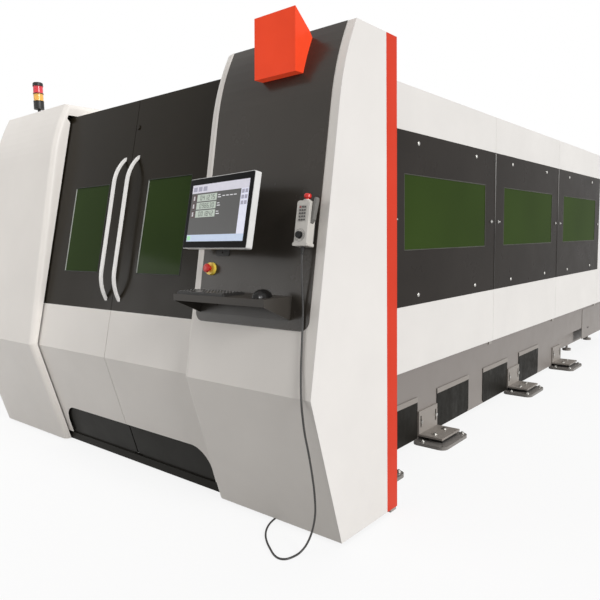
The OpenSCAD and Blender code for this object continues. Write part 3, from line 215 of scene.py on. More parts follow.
def plastic(name, colour, rough, grain=0.00004, spread=0.06, scale=900, **values):
    """Moulded plastic with a fine spark-eroded grain."""
    g = material_graph(name)
    base = g.tinted(g.varied(14, 3), colour, 1 - spread, 1 + spread)
    roughness = g.varied(60, 3, rough - 0.05, rough + 0.06)
    return g.shader(base, roughness, g.bump(g.noise(scale, 2), grain), **values)


def rubber(name, colour, rough=0.62, fold=0.0, **values):
    """Rubber with paler wear, and with upright folds where fold gives their depth."""
    g = material_graph(name)
    base = g.tinted(g.ranged(g.noise(7, 6), *WEAR_RANGE, 0, 0.5), colour, 1, 1.9)
    roughness = g.varied(25, 4, rough - 0.08, rough + 0.08)
    folds = g.bump(g.noise(1.0, 3, g.stretched((3.2, 3.2, 0.9))), fold) if fold else None
    return g.shader(base, roughness, g.bump(g.noise(420, 4), 0.00012, folds), **values)


def metal(name, colour, rough, grain, spread=0.08):
    """Brushed or drawn metal: streaks run along the axis with the smallest number in grain."""
    g = material_graph(name)
    streaks = g.noise(1.0, 5, g.stretched(grain), 0.7)
    base = g.tinted(g.ranged(streaks, *NOISE_RANGE, 0, 1), colour, 1 - spread, 1 + spread)
    roughness = g.ranged(streaks, *NOISE_RANGE, rough - 0.07, rough + 0.09)
    return g.shader(base, roughness, g.bump(streaks, 0.00004), Metallic=1.0)


def pane(name, colour, **values):
    """Laser protection pane: a deep green sheet that lets little light through."""
    g = material_graph(name)
    base = g.tinted(g.varied(0.9, 2), colour, 0.88, 1.14)
    return g.shader(base, g.varied(5, 3, 0.07, 0.12), g.bump(g.noise(3, 1), 0.00008),
                    Transmission_Weight=0.08, IOR=1.49, **values)


def glow(name, colour, strength):
    """A lit part of a display."""
    g = material_graph(name)
    base = g.tinted(g.ranged(g.noise(40, 2), 0.2, 0.8, 0, 1), colour, 0.96, 1.03)
    return g.shader(base, g.ranged(g.noise(30, 2), 0, 1, 0.27, 0.33), Emission_Strength=strength)


def sign_with_painted_glow(name, colour, strength):
    """A red sign with a painted glow: it gives off light of its own colour, though no lamp is in it, a little
    brighter in places.
    """
    g = material_graph(name)
    base = g.tinted(g.varied(5, 3), colour, 0.94, 1.05)
    return g.shader(base, g.varied(30, 3, 0.3, 0.38), g.bump(g.noise(600, 2), 0.00004),
                    Emission_Strength=strength, Specular_IOR_Level=0.12)


def joint_edge_painted_light(name):
    """The bright edge in a panel joint, with painted light: a highlight at the top that fades into painted shade
    below.
    """
    g = material_graph(name)
    base = g.mixed(g.ranged(g.height(), *SEAM_FADE, 0, 1), SEAM_PAINTED_SHADE, SEAM_PAINTED_HIGHLIGHT)
    return g.shader(base, g.varied(30, 3, 0.4, 0.5), Specular_IOR_Level=0.2)


MATERIALS = {
    # Base
    "base_paint": paint("base_paint", (0.228, 0.206, 0.191), 0.46, dust=0.18, Specular_IOR_Level=0.3),
    "bracket_paint": paint("bracket_paint", (0.27, 0.245, 0.222), 0.46, dust=0.18, Specular_IOR_Level=0.3),
    "plate_steel": paint("plate_steel", (0.19, 0.178, 0.167), 0.42, spread=0.1, dust=0.12, Specular_IOR_Level=0.35),
    "dark_block": plastic("dark_block", (0.020, 0.019, 0.018), 0.4, Specular_IOR_Level=0.3),
    "flap_rubber": rubber("flap_rubber", (0.0135, 0.0125, 0.0105), 0.45, 0.018, Specular_IOR_Level=0.05),
    "zinc_steel": metal("zinc_steel", (0.50, 0.49, 0.465), 0.34, (30, 30, 30)),
    # Front
    "front_white": paint("front_white", (0.755, 0.718, 0.675), 0.38, Specular_IOR_Level=0.25),
    "side_white": paint("side_white", (0.80, 0.772, 0.742), 0.40, Specular_IOR_Level=0.25),
    "trim_red": paint("trim_red", (0.67, 0.046, 0.018), 0.36, spread=0.05, dust=0.05, Specular_IOR_Level=0.08),
    # The sign's emission is a painted glow, not a lamp
    "sign_red": sign_with_painted_glow("sign_red", (0.74, 0.058, 0.018), 0.38),
    "frame_paint": paint("frame_paint", (0.30, 0.28, 0.255), 0.45),
    "rail_paint": paint("rail_paint", (0.0165, 0.0155, 0.0130), 0.4, dust=0.02, Specular_IOR_Level=0.06),
    "panel_dark": dark_panel("panel_dark", (0.0195, 0.0156, 0.0102), 0.20, spread=0.08, Specular_IOR_Level=0.082),
    "console_dark": dark_panel("console_dark", (0.046, 0.0395, 0.0325), 0.24, spread=0.08, Specular_IOR_Level=0.27),
    "side_dark": dark_panel("side_dark", (0.036, 0.032, 0.029), 0.30, spread=0.10, Specular_IOR_Level=0.015),
    "handle_white": paint("handle_white", (0.90, 0.88, 0.855), 0.3, dust=0.0, Specular_IOR_Level=0.4),
    "window_green": pane("window_green", (0.024, 0.047, 0.006), Specular_IOR_Level=0.02),
    "side_green": pane("side_green", (0.035, 0.063, 0.011), Specular_IOR_Level=0.0006),
    # Signal light and console
    "black_plastic": plastic("black_plastic", (0.018, 0.017, 0.016), 0.42, Specular_IOR_Level=0.35),
    "amber_lens": plastic("amber_lens", (0.93, 0.50, 0.10), 0.16, spread=0.1, Transmission_Weight=0.15),
    "red_lens": plastic("red_lens", (0.80, 0.055, 0.075), 0.16, spread=0.1, Transmission_Weight=0.15),
    "monitor_grey": plastic("monitor_grey", (0.74, 0.735, 0.72), 0.36, Specular_IOR_Level=0.3),
    "screen_black": plastic("screen_black", (0.0045, 0.0045, 0.0045), 0.12, grain=0.000005, Specular_IOR_Level=0.05),
    "key_black": plastic("key_black", (0.034, 0.032, 0.030), 0.26, Specular_IOR_Level=0.7),
    "glossy_black": plastic("glossy_black", (0.010, 0.0095, 0.009), 0.15, grain=0.00001, Specular_IOR_Level=0.22),
    "tray_dark": dark_panel("tray_dark", (0.048, 0.0425, 0.0365), 0.34, spread=0.08, Specular_IOR_Level=0.28),
    "knob_black": plastic("knob_black", (0.009, 0.009, 0.009), 0.4, Specular_IOR_Level=0.2),
    "switch_grey": plastic("switch_grey", (0.17, 0.163, 0.152), 0.34),
    "key_print": plastic("key_print", (0.56, 0.55, 0.53), 0.5),
    "wheel_rubber": rubber("wheel_rubber", (0.05, 0.05, 0.048)),
    "signal_yellow": plastic("signal_yellow", (0.90, 0.66, 0.09), 0.36),
    "button_red": plastic("button_red", (0.66, 0.022, 0.016), 0.26),
    "pendant_grey": plastic("pendant_grey", (0.56, 0.535, 0.495), 0.4),
    "keypad_grey": plastic("keypad_grey", (0.44, 0.425, 0.395), 0.45),
    "button_dark": plastic("button_dark", (0.050, 0.047, 0.045), 0.4),
    "button_wine": plastic("button_wine", (0.30, 0.030, 0.030), 0.4),
    "cable_rubber": rubber("cable_rubber", (0.030, 0.0285, 0.027), 0.42),
    # Body and inside
    "body_white": paint("body_white", (0.755, 0.73, 0.70), 0.42),
    "bed_paint": paint("bed_paint", (0.25, 0.235, 0.215), 0.5),
    "tray_steel": paint("tray_steel", (0.15, 0.14, 0.13), 0.55, spread=0.15),
    "gantry_aluminium": metal("gantry_aluminium", (0.60, 0.595, 0.58), 0.36, (3, 240, 240)),
    "head_white": paint("head_white", (0.72, 0.715, 0.70), 0.35),
    "pallet_paint": paint("pallet_paint", (0.14, 0.13, 0.12), 0.55, spread=0.15),
    "slat_steel": metal("slat_steel", (0.30, 0.27, 0.24), 0.5, (3, 200, 200), 0.25),
    # Gaskets and joints
    "gasket": rubber("gasket", (0.022, 0.024, 0.019), 0.5, Specular_IOR_Level=0.2),
    # Paler than the door gaskets: rubber, with a painted sheen round the side windows
    "side_gasket": rubber("side_gasket", (0.062, 0.062, 0.052), 0.5, Specular_IOR_Level=0.1),
    # Painted highlight fading into painted shade down the joint edges
    "joint_painted_light": joint_edge_painted_light("joint_painted_light"),
    # Painted highlight on the door panes' left edges
    "pane_painted_highlight": plastic("pane_painted_highlight", (0.42, 0.44, 0.40), 0.3, scale=300),
}

# Nodes that look different from their slot's own material
DRESSES = {
    "side_windows": "side_green", "side_window_panels": "side_dark", "console_panel": "console_dark",
    "sign_box": "sign_red", "keyboard_tray": "tray_dark", "mouse_body": "glossy_black",
    "pendant_knob": "knob_black", "pendant_enable_switch": "switch_grey",
}


def dress_nodes():
    slots = {part["node"]: part["material_slot"] for part in frame["record"]["subparts"]}
    for node, slot in slots.items():
        data = nodes[node].data
        data.materials.clear()
        data.materials.append(MATERIALS[DRESSES.get(node, slot)])


dress_nodes()


# Building blocks

BEVEL_ANGLE, BEVEL_SEGMENTS = math.radians(35), 2
SIDE_FACE_X = BODY_HALF_W - 0.0002
ON_AXIS = 1e-6


def soften(piece, width):
    modifier = piece.modifiers.new("edge", "BEVEL")
    modifier.width, modifier.segments = width, BEVEL_SEGMENTS
    modifier.limit_method, modifier.angle_limit = "ANGLE", BEVEL_ANGLE


def from_bmesh(name, bm, material, body, smooth=False, bevel=0.0):
    """Makes an object of the mesh, gives it its material and lets it ride on its body."""
    bmesh.ops.recalc_face_normals(bm, faces=bm.faces)
    mesh = bpy.data.meshes.new(name)
    bm.to_mesh(mesh)
    bm.free()
    mesh.materials.append(MATERIALS[material])
    piece = bpy.data.objects.new(name, mesh)
    scene.collection.objects.link(piece)
    if smooth:
        mesh.shade_smooth()
    if bevel:
        soften(piece, bevel)
    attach(piece, body)
    return piece


def add_box(bm, low, high, matrix=Matrix()):
    low, high = Vector(low), Vector(high)
    size = high - low
    for vertex in bmesh.ops.create_cube(bm, size=1.0)["verts"]:
        vertex.co = matrix @ (low + Vector((s * (c + 0.5) for s, c in zip(size, vertex.co))))


def add_side_box(bm, side, x, y, z):
    """A box of ranges of X, Y and Z as in the source, on either side of the machine."""
    x0, x1 = sorted((side * x[0], side * x[1]))
    add_box(bm, (x0, y[0] - MIDDLE_Y, z[0]), (x1, y[1] - MIDDLE_Y, z[1]))


def add_prism(bm, outline, z0, z1, matrix):
    """A flat outline of (x, y) points drawn out from z0 to z1."""
    low = [bm.verts.new(matrix @ Vector((x, y, z0))) for x, y in outline]
    high = [bm.verts.new(matrix @ Vector((x, y, z1))) for x, y in outline]
    bm.faces.new(low)
    bm.faces.new(reversed(high))
    for i, vertex in enumerate(low):
        j = (i + 1) % len(low)
        bm.faces.new((vertex, high[i], high[j], low[j]))


def turned(count):
    """The angles of so many equal steps of one full turn."""
    return (2 * math.pi * k / count for k in range(count))


def add_lathe(bm, profile, sides, matrix):
    """A profile of (radius, height) points turned about local Z."""
    rings = []
    for radius, height in profile:
        if radius < ON_AXIS:
            rings.append([bm.verts.new(matrix @ Vector((0, 0, height)))])
            continue
        rings.append([bm.verts.new(matrix @ Vector((radius * math.cos(a), radius * math.sin(a), height)))
                      for a in turned(sides)])
    for lower, upper in zip(rings, rings[1:]):
        for k in range(sides):
            m = (k + 1) % sides
            corners = [lower[k % len(lower)], lower[m % len(lower)], upper[m % len(upper)], upper[k % len(upper)]]
            unique = list(dict.fromkeys(corners))
            if len(unique) > 2:
                bm.faces.new(unique)


def join_loops(bm, lower, upper):
    """Closes the space between two loops of as many points."""
    for k in range(len(lower)):
        m = (k + 1) % len(lower)
        bm.faces.new((lower[k], lower[m], upper[m], upper[k]))


def add_loft(bm, rings):
    """A skin over a row of loops, closed at the first and the last one."""
    for lower, upper in zip(rings, rings[1:]):
        join_loops(bm, lower, upper)
    bm.faces.new(rings[0][::-1])
    bm.faces.new(rings[-1])


def rounded(w, h, r, steps=6):
    """A rounded rectangle as a list of points with its middle at 0, 0."""
    points = []
    for quarter, (sx, sy) in enumerate(((1, 1), (-1, 1), (-1, -1), (1, -1))):
        for k in range(steps + 1):
            a = math.pi / 2 * (quarter + k / steps)
            points.append((sx * (w / 2 - r) + r * math.cos(a), sy * (h / 2 - r) + r * math.sin(a)))
    return points


def add_ring(bm, w, h, r, band, z0, z1, matrix):
    """A rounded rectangular frame, band wide, standing from z0 to z1 on the inside of w by h."""
    outer, inner = rounded(w, h, r), rounded(w - 2 * band, h - 2 * band, max(r - band, 0.0005))
    loops = [[bm.verts.new(matrix @ Vector((x, y, z))) for x, y in outline]
             for outline, z in ((outer, z0), (outer, z1), (inner, z1), (inner, z0))]
    for lower, upper in zip(loops, loops[1:] + loops[:1]):
        join_loops(bm, lower, upper)


def add_tube(bm, path, radius, sides):
    """A tube round a list of points, with a steady twist-free frame."""
    side = Vector((0.5, -0.5, 0.7))
    rings = []
    for i, point in enumerate(path):
        ahead = (path[min(i + 1, len(path) - 1)] - path[max(i - 1, 0)]).normalized()
        u = (side - side.dot(ahead) * ahead).normalized()
        v = ahead.cross(u)
        side = u
        rings.append([bm.verts.new(point + radius * (math.cos(a) * u + math.sin(a) * v)) for a in turned(sides)])
    add_loft(bm, rings)


def face_y(z):
    """Where the columns' face lies at a height."""
    return NOSE_Y + (z - NOSE_Z) * math.tan(FACE_LEAN) - MIDDLE_Y


def door_y(z):
    """Where the doors' face lies at a height."""
    return DOOR_NOSE_Y + (z - DOOR_NOSE_Z) * math.tan(DOOR_LEAN) - MIDDLE_Y


def upright(x, y, z, lean):
    """A frame with X across, Y up the slope and Z out towards the operator."""
    return Matrix.Translation((x, y, z)) @ Matrix.Rotation(math.pi / 2 - lean, 4, "X")


def on_column(x, z):
    return upright(x, face_y(z), z, FACE_LEAN)


def on_door(side, inset, z):
    """side is 1 on the right leaf and -1 on the left one."""
    return upright(SEAM_X + side * inset, door_y(z), z, DOOR_LEAN)


def on_side(side, y, z):
    """A frame on the body's side: X along the machine, Y up and Z out."""
    return (Matrix.Translation((side * SIDE_FACE_X, y - MIDDLE_Y, z)) @ Matrix.Rotation(side * math.pi / 2, 4, "Z")
            @ Matrix.Rotation(math.pi / 2, 4, "X"))


# Cable

CABLE_D, CABLE_SIDES, CABLE_STEPS = 0.009, 14, 6
CABLE_ROUTE_MM = [
    (1436, -132, 1248.5), (1437, -136, 1206), (1439, -139, 1150), (1442, -141, 1090), (1446, -145, 1030),
    (1450, -153, 965), (1455, -166, 890), (1463, -184, 790), (1478, -204, 690), (1485, -208, 630),
    (1486, -196, 545), (1483, -170, 455), (1480, -146, 360), (1474, -124, 265), (1465, -110, 175),
    (1447, -108, 95), (1428, -122, 36), (1415, -150, 7), (1413, -190, 5), (1401, -226, 5),
    (1374, -240, 5), (1338, -231, 5), (1294, -205, 5), (1248, -174, 5), (1206, -138, 5),
    (1170, -95, 5), (1142, -44, 5), (1126, 10, 5), (1120, 60, 5), (1120, 97, 19),
    (1120, 111, 52), (1120, 111, 63.7)]


def through(points, i, t):
    """A point of the smooth curve through the points, at the share t of the way from point i to the next."""
    a, b, c, d = (points[max(0, min(len(points) - 1, i + k))] for k in (-1, 0, 1, 2))
    return 0.5 * (2 * b + (c - a) * t + (2 * a - 5 * b + 4 * c - d) * t * t + (3 * b - a - 3 * c + d) * t ** 3)


def make_cable():
    points = [Vector((x / 1000, y / 1000 - MIDDLE_Y, z / 1000)) for x, y, z in CABLE_ROUTE_MM]
    line = [through(points, i, k / CABLE_STEPS) for i in range(len(points) - 1) for k in range(CABLE_STEPS)]
    line.append(points[-1])
    bm = bmesh.new()
    add_tube(bm, line, CABLE_D / 2, CABLE_SIDES)
    cable = from_bmesh("cable", bm, "cable_rubber", "machine", smooth=True)
    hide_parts("pendant_cable")


make_cable()


# Window gaskets, and a painted highlight on the door panes' left edges

WINDOW_W, WINDOW_H, WINDOW_Z, WINDOW_MID = 0.363, 0.518, 1.390, 0.3665
SIDE_WINDOW_W, SIDE_WINDOW_H, SIDE_WINDOW_Z = 1.184, 0.450, 1.452
SIDE_WINDOW_Y = [1.730, 3.270, 4.810]
GASKET_GROWTH, GASKET_R = 0.004, 0.005
DOOR_BAND, DOOR_BAND_Z = 0.0045, (-0.0029, 0.0014)
SIDE_BAND, SIDE_BAND_Z = 0.008, (-0.0027, 0.0002)
# A pale strip on each door pane's left edge: a painted highlight
PANE_HIGHLIGHT_X, PANE_HIGHLIGHT_Z, PANE_HIGHLIGHT_INSET = (0.0026, 0.0056), (-0.0029, 0.0010), 0.004


def add_gasket(bm, w, h, band, z, matrix):
    add_ring(bm, w + GASKET_GROWTH, h + GASKET_GROWTH, GASKET_R, band, *z, matrix)


def make_gaskets(side, word):
    matrix = on_door(side, WINDOW_MID, WINDOW_Z)
    bm = bmesh.new()
    add_gasket(bm, WINDOW_W, WINDOW_H, DOOR_BAND, DOOR_BAND_Z, matrix)
    from_bmesh(word + "_door_gasket", bm, "gasket", word + "_door", bevel=0.0006)
    # Painted highlight: a pale strip along the left edge of the door pane, where that edge catches light
    bm = bmesh.new()
    add_box(bm, (-WINDOW_W / 2 + PANE_HIGHLIGHT_X[0], -WINDOW_H / 2 + PANE_HIGHLIGHT_INSET, PANE_HIGHLIGHT_Z[0]),
            (-WINDOW_W / 2 + PANE_HIGHLIGHT_X[1], WINDOW_H / 2 - PANE_HIGHLIGHT_INSET, PANE_HIGHLIGHT_Z[1]), matrix)
    from_bmesh(word + "_pane_painted_highlight", bm, "pane_painted_highlight", word + "_door")
    # The side gaskets' paler rubber also paints the sheen round the side windows
    bm = bmesh.new()
    for y in SIDE_WINDOW_Y:
        add_gasket(bm, SIDE_WINDOW_W, SIDE_WINDOW_H, SIDE_BAND, SIDE_BAND_Z, on_side(side, y, SIDE_WINDOW_Z))
    from_bmesh(word + "_side_gaskets", bm, "side_gasket", "machine", bevel=0.0008)


for window_side, window_word in SIDES:
    make_gaskets(window_side, window_word)


# Joints, fixings and small fittings of the body

SEAM_Y = [0.960, 2.500, 4.040, 5.580]
PROUD_SEAMS = SEAM_Y[1:3]
BAND_Z = (0.900, 1.916)
EDGE_DEPTH, PROUD_EDGE, SUNK_EDGE = -0.006, (0.0020, 0.0042), (0.0013, -0.0009)
FILLER_REACH, FILLER_DEPTH, FILLER_Z = 0.0014, (-0.0080, -0.0011), ((0.503, 0.8935), (1.9225, 2.176))
SKIRT_X, SKIRT_Y, SKIRT_Z = (1.1398, 1.1398 - 0.0012), (0.970, 6.090), (0.4703, 0.4997)
SCREW_Z, SCREW_REACH = (0.954, 1.862), 0.420
SCREW_CAP = [(0.0130, 0.0003), (0.0130, 0.0022), (0.0108, 0.0048), (0.0060, 0.0064), (0, 0.0069)]
FEET_Y = [0.670, 1.485, 3.010, 4.180]
ANCHOR_X, ANCHOR_PITCH_X, ANCHOR_PITCH_Y, PLATE_T = 1.254, 0.131, 0.294, 0.020
MISSING_ANCHOR = (FEET_Y[1], 1, -1)
ANCHOR_WASHER = [(0, 0.0002), (0.0150, 0.0002), (0.0150, 0.0020), (0.0145, 0.0024), (0, 0.0024)]
ANCHOR_NUT = [(0, 0.002), (0.0110, 0.002), (0.0120, 0.0030), (0.0120, 0.0092), (0.0110, 0.0102), (0, 0.0102)]
ANCHOR_STUD = [(0, 0.008), (0.0070, 0.008), (0.0070, 0.0142), (0.0062, 0.0152), (0, 0.0152)]
SHOE_X, PAD_PITCH, PAD_TOP = 1.232, 0.134, 0.056
PAD_WASHER = [(0.010, 0.0001), (0.0180, 0.0001), (0.0180, 0.0022), (0.0172, 0.0026), (0.010, 0.0026)]
# Dark boxes inside the foot brackets' slots, as painted shade
SLOT_X, SLOT_Z, SLOT_REACH, SLOT_HALF_W = (1.1402, 1.1414), (0.0955, 0.1685), 0.100, 0.0080
LATCH_Z, LATCH_REACH = 1.410, 0.705
LEVER_W, LEVER_H, LEVER_R, LEVER_OUT, LEVER_SHIFT = 0.040, 0.009, 0.004, (0.0030, 0.0085), 0.010


def make_joints(side, word):
    # The joint edges' colour is painted light: a highlight at the top that fades into shade below
    bm = bmesh.new()
    for y in SEAM_Y:
        reach, out = PROUD_EDGE if y in PROUD_SEAMS else SUNK_EDGE
        add_box(bm, (-reach, BAND_Z[0], EDGE_DEPTH), (reach, BAND_Z[1], out), on_side(side, y, 0))
    from_bmesh(word + "_joint_edges", bm, "joint_painted_light", "machine")
    bm = bmesh.new()
    for y in SEAM_Y:
        for low, high in FILLER_Z:
            add_box(bm, (-FILLER_REACH, low, FILLER_DEPTH[0]), (FILLER_REACH, high, FILLER_DEPTH[1]),
                    on_side(side, y, 0))
    from_bmesh(word + "_joint_fillers", bm, "body_white", "machine")
    bm = bmesh.new()
    add_side_box(bm, side, SKIRT_X, SKIRT_Y, SKIRT_Z)
    from_bmesh(word + "_skirt_seal", bm, "base_paint", "machine")


def make_screw_caps(side, word):
    bm = bmesh.new()
    for y in SIDE_WINDOW_Y:
        for s in (-1, 1):
            for z in SCREW_Z:
                add_lathe(bm, SCREW_CAP, 24, on_side(side, y + s * SCREW_REACH, z))
    from_bmesh(word + "_screw_caps", bm, "zinc_steel", "machine", smooth=True)


def make_anchors(side, word):
    """The floor plates' anchor bolts, without the one that the photograph lacks, and the pads' washers."""
    bm = bmesh.new()
    for y in FEET_Y:
        for sx in (-1, 1):
            for sy in (-1, 1):
                if (y, sx, sy) == MISSING_ANCHOR:
                    continue
                at = Matrix.Translation((side * (ANCHOR_X + sx * ANCHOR_PITCH_X / 2),
                                         y - MIDDLE_Y + sy * ANCHOR_PITCH_Y / 2, PLATE_T))
                add_lathe(bm, ANCHOR_WASHER, 28, at)
                add_lathe(bm, ANCHOR_NUT, 6, at)
                add_lathe(bm, ANCHOR_STUD, 20, at)
        for s in (-1, 1):
            at = Matrix.Translation((side * SHOE_X, y - MIDDLE_Y + s * PAD_PITCH / 2, PAD_TOP))
            add_lathe(bm, PAD_WASHER, 28, at)
    from_bmesh(word + "_anchors", bm, "zinc_steel", "machine", bevel=0.0004)


# Painted shade: dark boxes in the foot brackets' slots, where the open slots would fall into shadow
def make_slot_painted_shades(side, word):
    bm = bmesh.new()
    for y in FEET_Y:
        for s in (-1, 1):
            mid = y + s * SLOT_REACH
            add_side_box(bm, side, SLOT_X, (mid - SLOT_HALF_W, mid + SLOT_HALF_W), SLOT_Z)
    from_bmesh(word + "_slot_painted_shade", bm, "dark_block", "machine")


def make_latch_levers(side, word):
    bm = bmesh.new()
    for y in SIDE_WINDOW_Y:
        for s in (-1, 1):
            shifted = Matrix.Translation((-s * side * LEVER_SHIFT, 0, 0))
            add_prism(bm, rounded(LEVER_W, LEVER_H, LEVER_R), *LEVER_OUT,
                      on_side(side, y + s * LATCH_REACH, LATCH_Z) @ shifted)
    from_bmesh(word + "_latch_levers", bm, "zinc_steel", "machine", bevel=0.0006)


for body_side, body_word in SIDES:
    for make in (make_joints, make_screw_caps, make_anchors, make_slot_painted_shades, make_latch_levers):
        make(body_side, body_word)


# Signal light

LIGHT_AT, LIGHT_R, LIGHT_JOINTS = (-1.180, 0.195 - MIDDLE_Y), 0.034, (2.288, 2.340, 2.392)
RING_R, RING_Z = (LIGHT_R - 0.0010, LIGHT_R + 0.0006), (-0.0030, 0.0030)


def make_light_rings():
    profile = [(RING_R[0], RING_Z[0]), (RING_R[1], RING_Z[0]), (RING_R[1], RING_Z[1]), (RING_R[0], RING_Z[1])]
    bm = bmesh.new()
    for z in LIGHT_JOINTS:
        add_lathe(bm, profile, 40, Matrix.Translation((*LIGHT_AT, z)))
    from_bmesh("signal_light_rings", bm, "black_plastic", "machine", smooth=True)


make_light_rings()


# Console panel's edge

FACE_END_Z, CROWN_R, COLUMN_H, CONSOLE_X0 = 1.860, 1.100, 2.200, 0.800
FOLD_X, FOLD_OUT, FOLD_LOW_Z, FOLD_STEPS = (CONSOLE_X0 - 0.0002, CONSOLE_X0 + 0.0145), 0.0038, 1.03, 8


def make_console_edge():
    """The light fold along the console panel's inner side, from behind the tray up over the crown."""
    start = Vector((face_y(FACE_END_Z), FACE_END_Z))
    centre = start + CROWN_R * Vector((math.cos(FACE_LEAN), -math.sin(FACE_LEAN)))
    end = math.asin((COLUMN_H - centre.y) / CROWN_R)
    path = [(Vector((face_y(FOLD_LOW_Z), FOLD_LOW_Z)), FACE_LEAN), (start, FACE_LEAN)]
    for k in range(1, FOLD_STEPS + 1):
        a = FACE_LEAN + (end - FACE_LEAN) * k / FOLD_STEPS
        path.append((centre + CROWN_R * Vector((-math.cos(a), math.sin(a))), a))
    section = ((FOLD_X[0], 0.0), (FOLD_X[0], FOLD_OUT), (FOLD_X[1], FOLD_OUT), (FOLD_X[1], 0.0))
    bm = bmesh.new()
    rings = []
    for point, a in path:
        out = Vector((-math.cos(a), math.sin(a)))
        rings.append([bm.verts.new((x, *(point + d * out))) for x, d in section])
    add_loft(bm, rings)
    from_bmesh("console_edge", bm, "front_white", "machine", bevel=0.001)


make_console_edge()


# Pendant's marks

PENDANT = on_column(1.436, 1.361)
PENDANT_FRONT = 0.061
CAP_PITCH, CAP_LOW_Y, CAP_ROWS = (0.0125, 0.0128), 0.0130, 5
CAP_W, CAP_H, CAP_R, CAP_OUT = 0.0082, 0.0072, 0.0012, (0.0010, 0.0021)
DIAL = PENDANT @ Matrix.Translation((-0.004, -0.048, PENDANT_FRONT))
TICKS, TICK_FIRST, TICK_STEP, LONG_TICK = 13, -150, 25, 3
TICK_HALF_W, TICK_FROM, TICK_TO, LONG_TICK_TO = 0.0005, 0.0185, 0.0215, 0.0235
DIAL_RING_R, SCALE_OUT = (0.0247, 0.0256), (0.0001, 0.0004)
COLLAR = PENDANT @ Matrix.Translation((0, 0.091, 0.039)) @ Matrix.Rotation(-math.pi / 2, 4, "X")
COLLAR_PROFILE = [(0.0149, -0.0002), (0.0168, -0.0002), (0.0168, 0.0010), (0.0160, 0.0016), (0.0149, 0.0016)]


def make_pendant_caps():
    caps = {"button_dark": [], "button_wine": []}
    for i in range(-1, 2):
        for j in range(CAP_ROWS):
            wine = j == CAP_ROWS - 1 and i < 0
            caps["button_wine" if wine else "button_dark"].append((i * CAP_PITCH[0], CAP_LOW_Y + j * CAP_PITCH[1]))
    for material, places in caps.items():
        bm = bmesh.new()
        for x, y in places:
            outline = [(x + a, y + b) for a, b in rounded(CAP_W, CAP_H, CAP_R, 3)]
            add_prism(bm, outline, PENDANT_FRONT + CAP_OUT[0], PENDANT_FRONT + CAP_OUT[1], PENDANT)
        from_bmesh("pendant_caps_" + material, bm, material, "machine", bevel=0.0003)


def make_pendant_scale():
    bm = bmesh.new()
    for k in range(TICKS):
        end = TICK_TO if k % LONG_TICK else LONG_TICK_TO
        add_box(bm, (-TICK_HALF_W, TICK_FROM, SCALE_OUT[0]), (TICK_HALF_W, end, SCALE_OUT[1]),
                DIAL @ Matrix.Rotation(math.radians(TICK_FIRST + TICK_STEP * k), 4, "Z"))
    add_lathe(bm, [(DIAL_RING_R[0], SCALE_OUT[0]), (DIAL_RING_R[1], SCALE_OUT[0]), (DIAL_RING_R[1], SCALE_OUT[1]),
                   (DIAL_RING_R[0], SCALE_OUT[1])], 64, DIAL)
    from_bmesh("pendant_scale", bm, "button_dark", "machine")


def make_pendant_collar():
    bm = bmesh.new()
    add_lathe(bm, COLLAR_PROFILE, 40, COLLAR)
    from_bmesh("pendant_collar", bm, "black_plastic", "machine", smooth=True)


make_pendant_caps()
make_pendant_scale()
make_pendant_collar()


# Keyboard's marks

KEY_PITCH, KEY_INSET, KEY_ROWS, KEY_COLUMNS = 0.019, 0.001, 6, 15
SPACE_BAR = range(4, 9)
MARK_AT, MARK_OUT = (0.0032, 0.0088), (0.0001, 0.0004)
MARK_SIZES = ((0.0034, 0.0040), (0.0042, 0.0034), (0.0028, 0.0044), (0.0058, 0.0022))


def make_key_print():
    """A small plain mark on each key of the keyboard, but not on the space bar."""
    points = [nodes["keyboard_keys"].matrix_world @ Vector(c) for c in nodes["keyboard_keys"].bound_box]
    left, front, top = min(p.x for p in points), min(p.y for p in points), max(p.z for p in points)
    bm = bmesh.new()
    for i in range(KEY_COLUMNS):
        for j in range(KEY_ROWS):
            if j == 0 and i in SPACE_BAR:
                continue
            w, h = MARK_SIZES[(5 * i + 3 * j + i * j) % len(MARK_SIZES)]
            x, y = left + KEY_INSET + i * KEY_PITCH + MARK_AT[0], front + KEY_INSET + j * KEY_PITCH + MARK_AT[1]
            add_box(bm, (x, y, top + MARK_OUT[0]), (x + w, y + h, top + MARK_OUT[1]))
    from_bmesh("key_print", bm, "key_print", "machine")


make_key_print()


# Rounded edges of the frame's own pieces

EDGE_WIDTHS = {
    "monitor_housing": 0.0025, "monitor_screen": 0.0008, "keyboard_keys": 0.0012, "keyboard_case": 0.0015,
    "keyboard_tray": 0.0007, "sign_box": 0.003, "foot_brackets": 0.0015, "floor_plates": 0.0015,
    "pendant_body": 0.0012, "pendant_keypad": 0.0003, "foot_shoes": 0.002,
}
for node_name, edge_width in EDGE_WIDTHS.items():
    soften(nodes[node_name], edge_width)


# Display

TILT_AT = Vector((1.0309970, -3.0615194, 1.421))
MONITOR_TURN, MONITOR_TILT, GLASS_OUT = math.radians(-9), math.radians(11), 0.053
MONITOR = (Matrix.Translation(TILT_AT) @ Matrix.Rotation(MONITOR_TURN, 4, "Z")
           @ Matrix.Rotation(math.pi / 2 - MONITOR_TILT, 4, "X") @ Matrix.Translation((0, 0, GLASS_OUT)))
LAYER_T = 0.0003
SEGMENTS = {"0": "abcdef", "1": "bc", "2": "abged", "3": "abgcd", "4": "fgbc", "5": "afgcd", "6": "afgedc",
            "7": "abc", "8": "abcdefg", "9": "abcdfg"}
SEGMENT_BOX = {"a": (0.1, 0.9, 0.9, 1.0), "b": (0.8, 0.52, 0.98, 0.96), "c": (0.8, 0.04, 0.98, 0.48),
               "d": (0.1, 0.0, 0.9, 0.1), "e": (0.02, 0.04, 0.2, 0.48), "f": (0.02, 0.52, 0.2, 0.96),
               "g": (0.15, 0.45, 0.85, 0.55)}
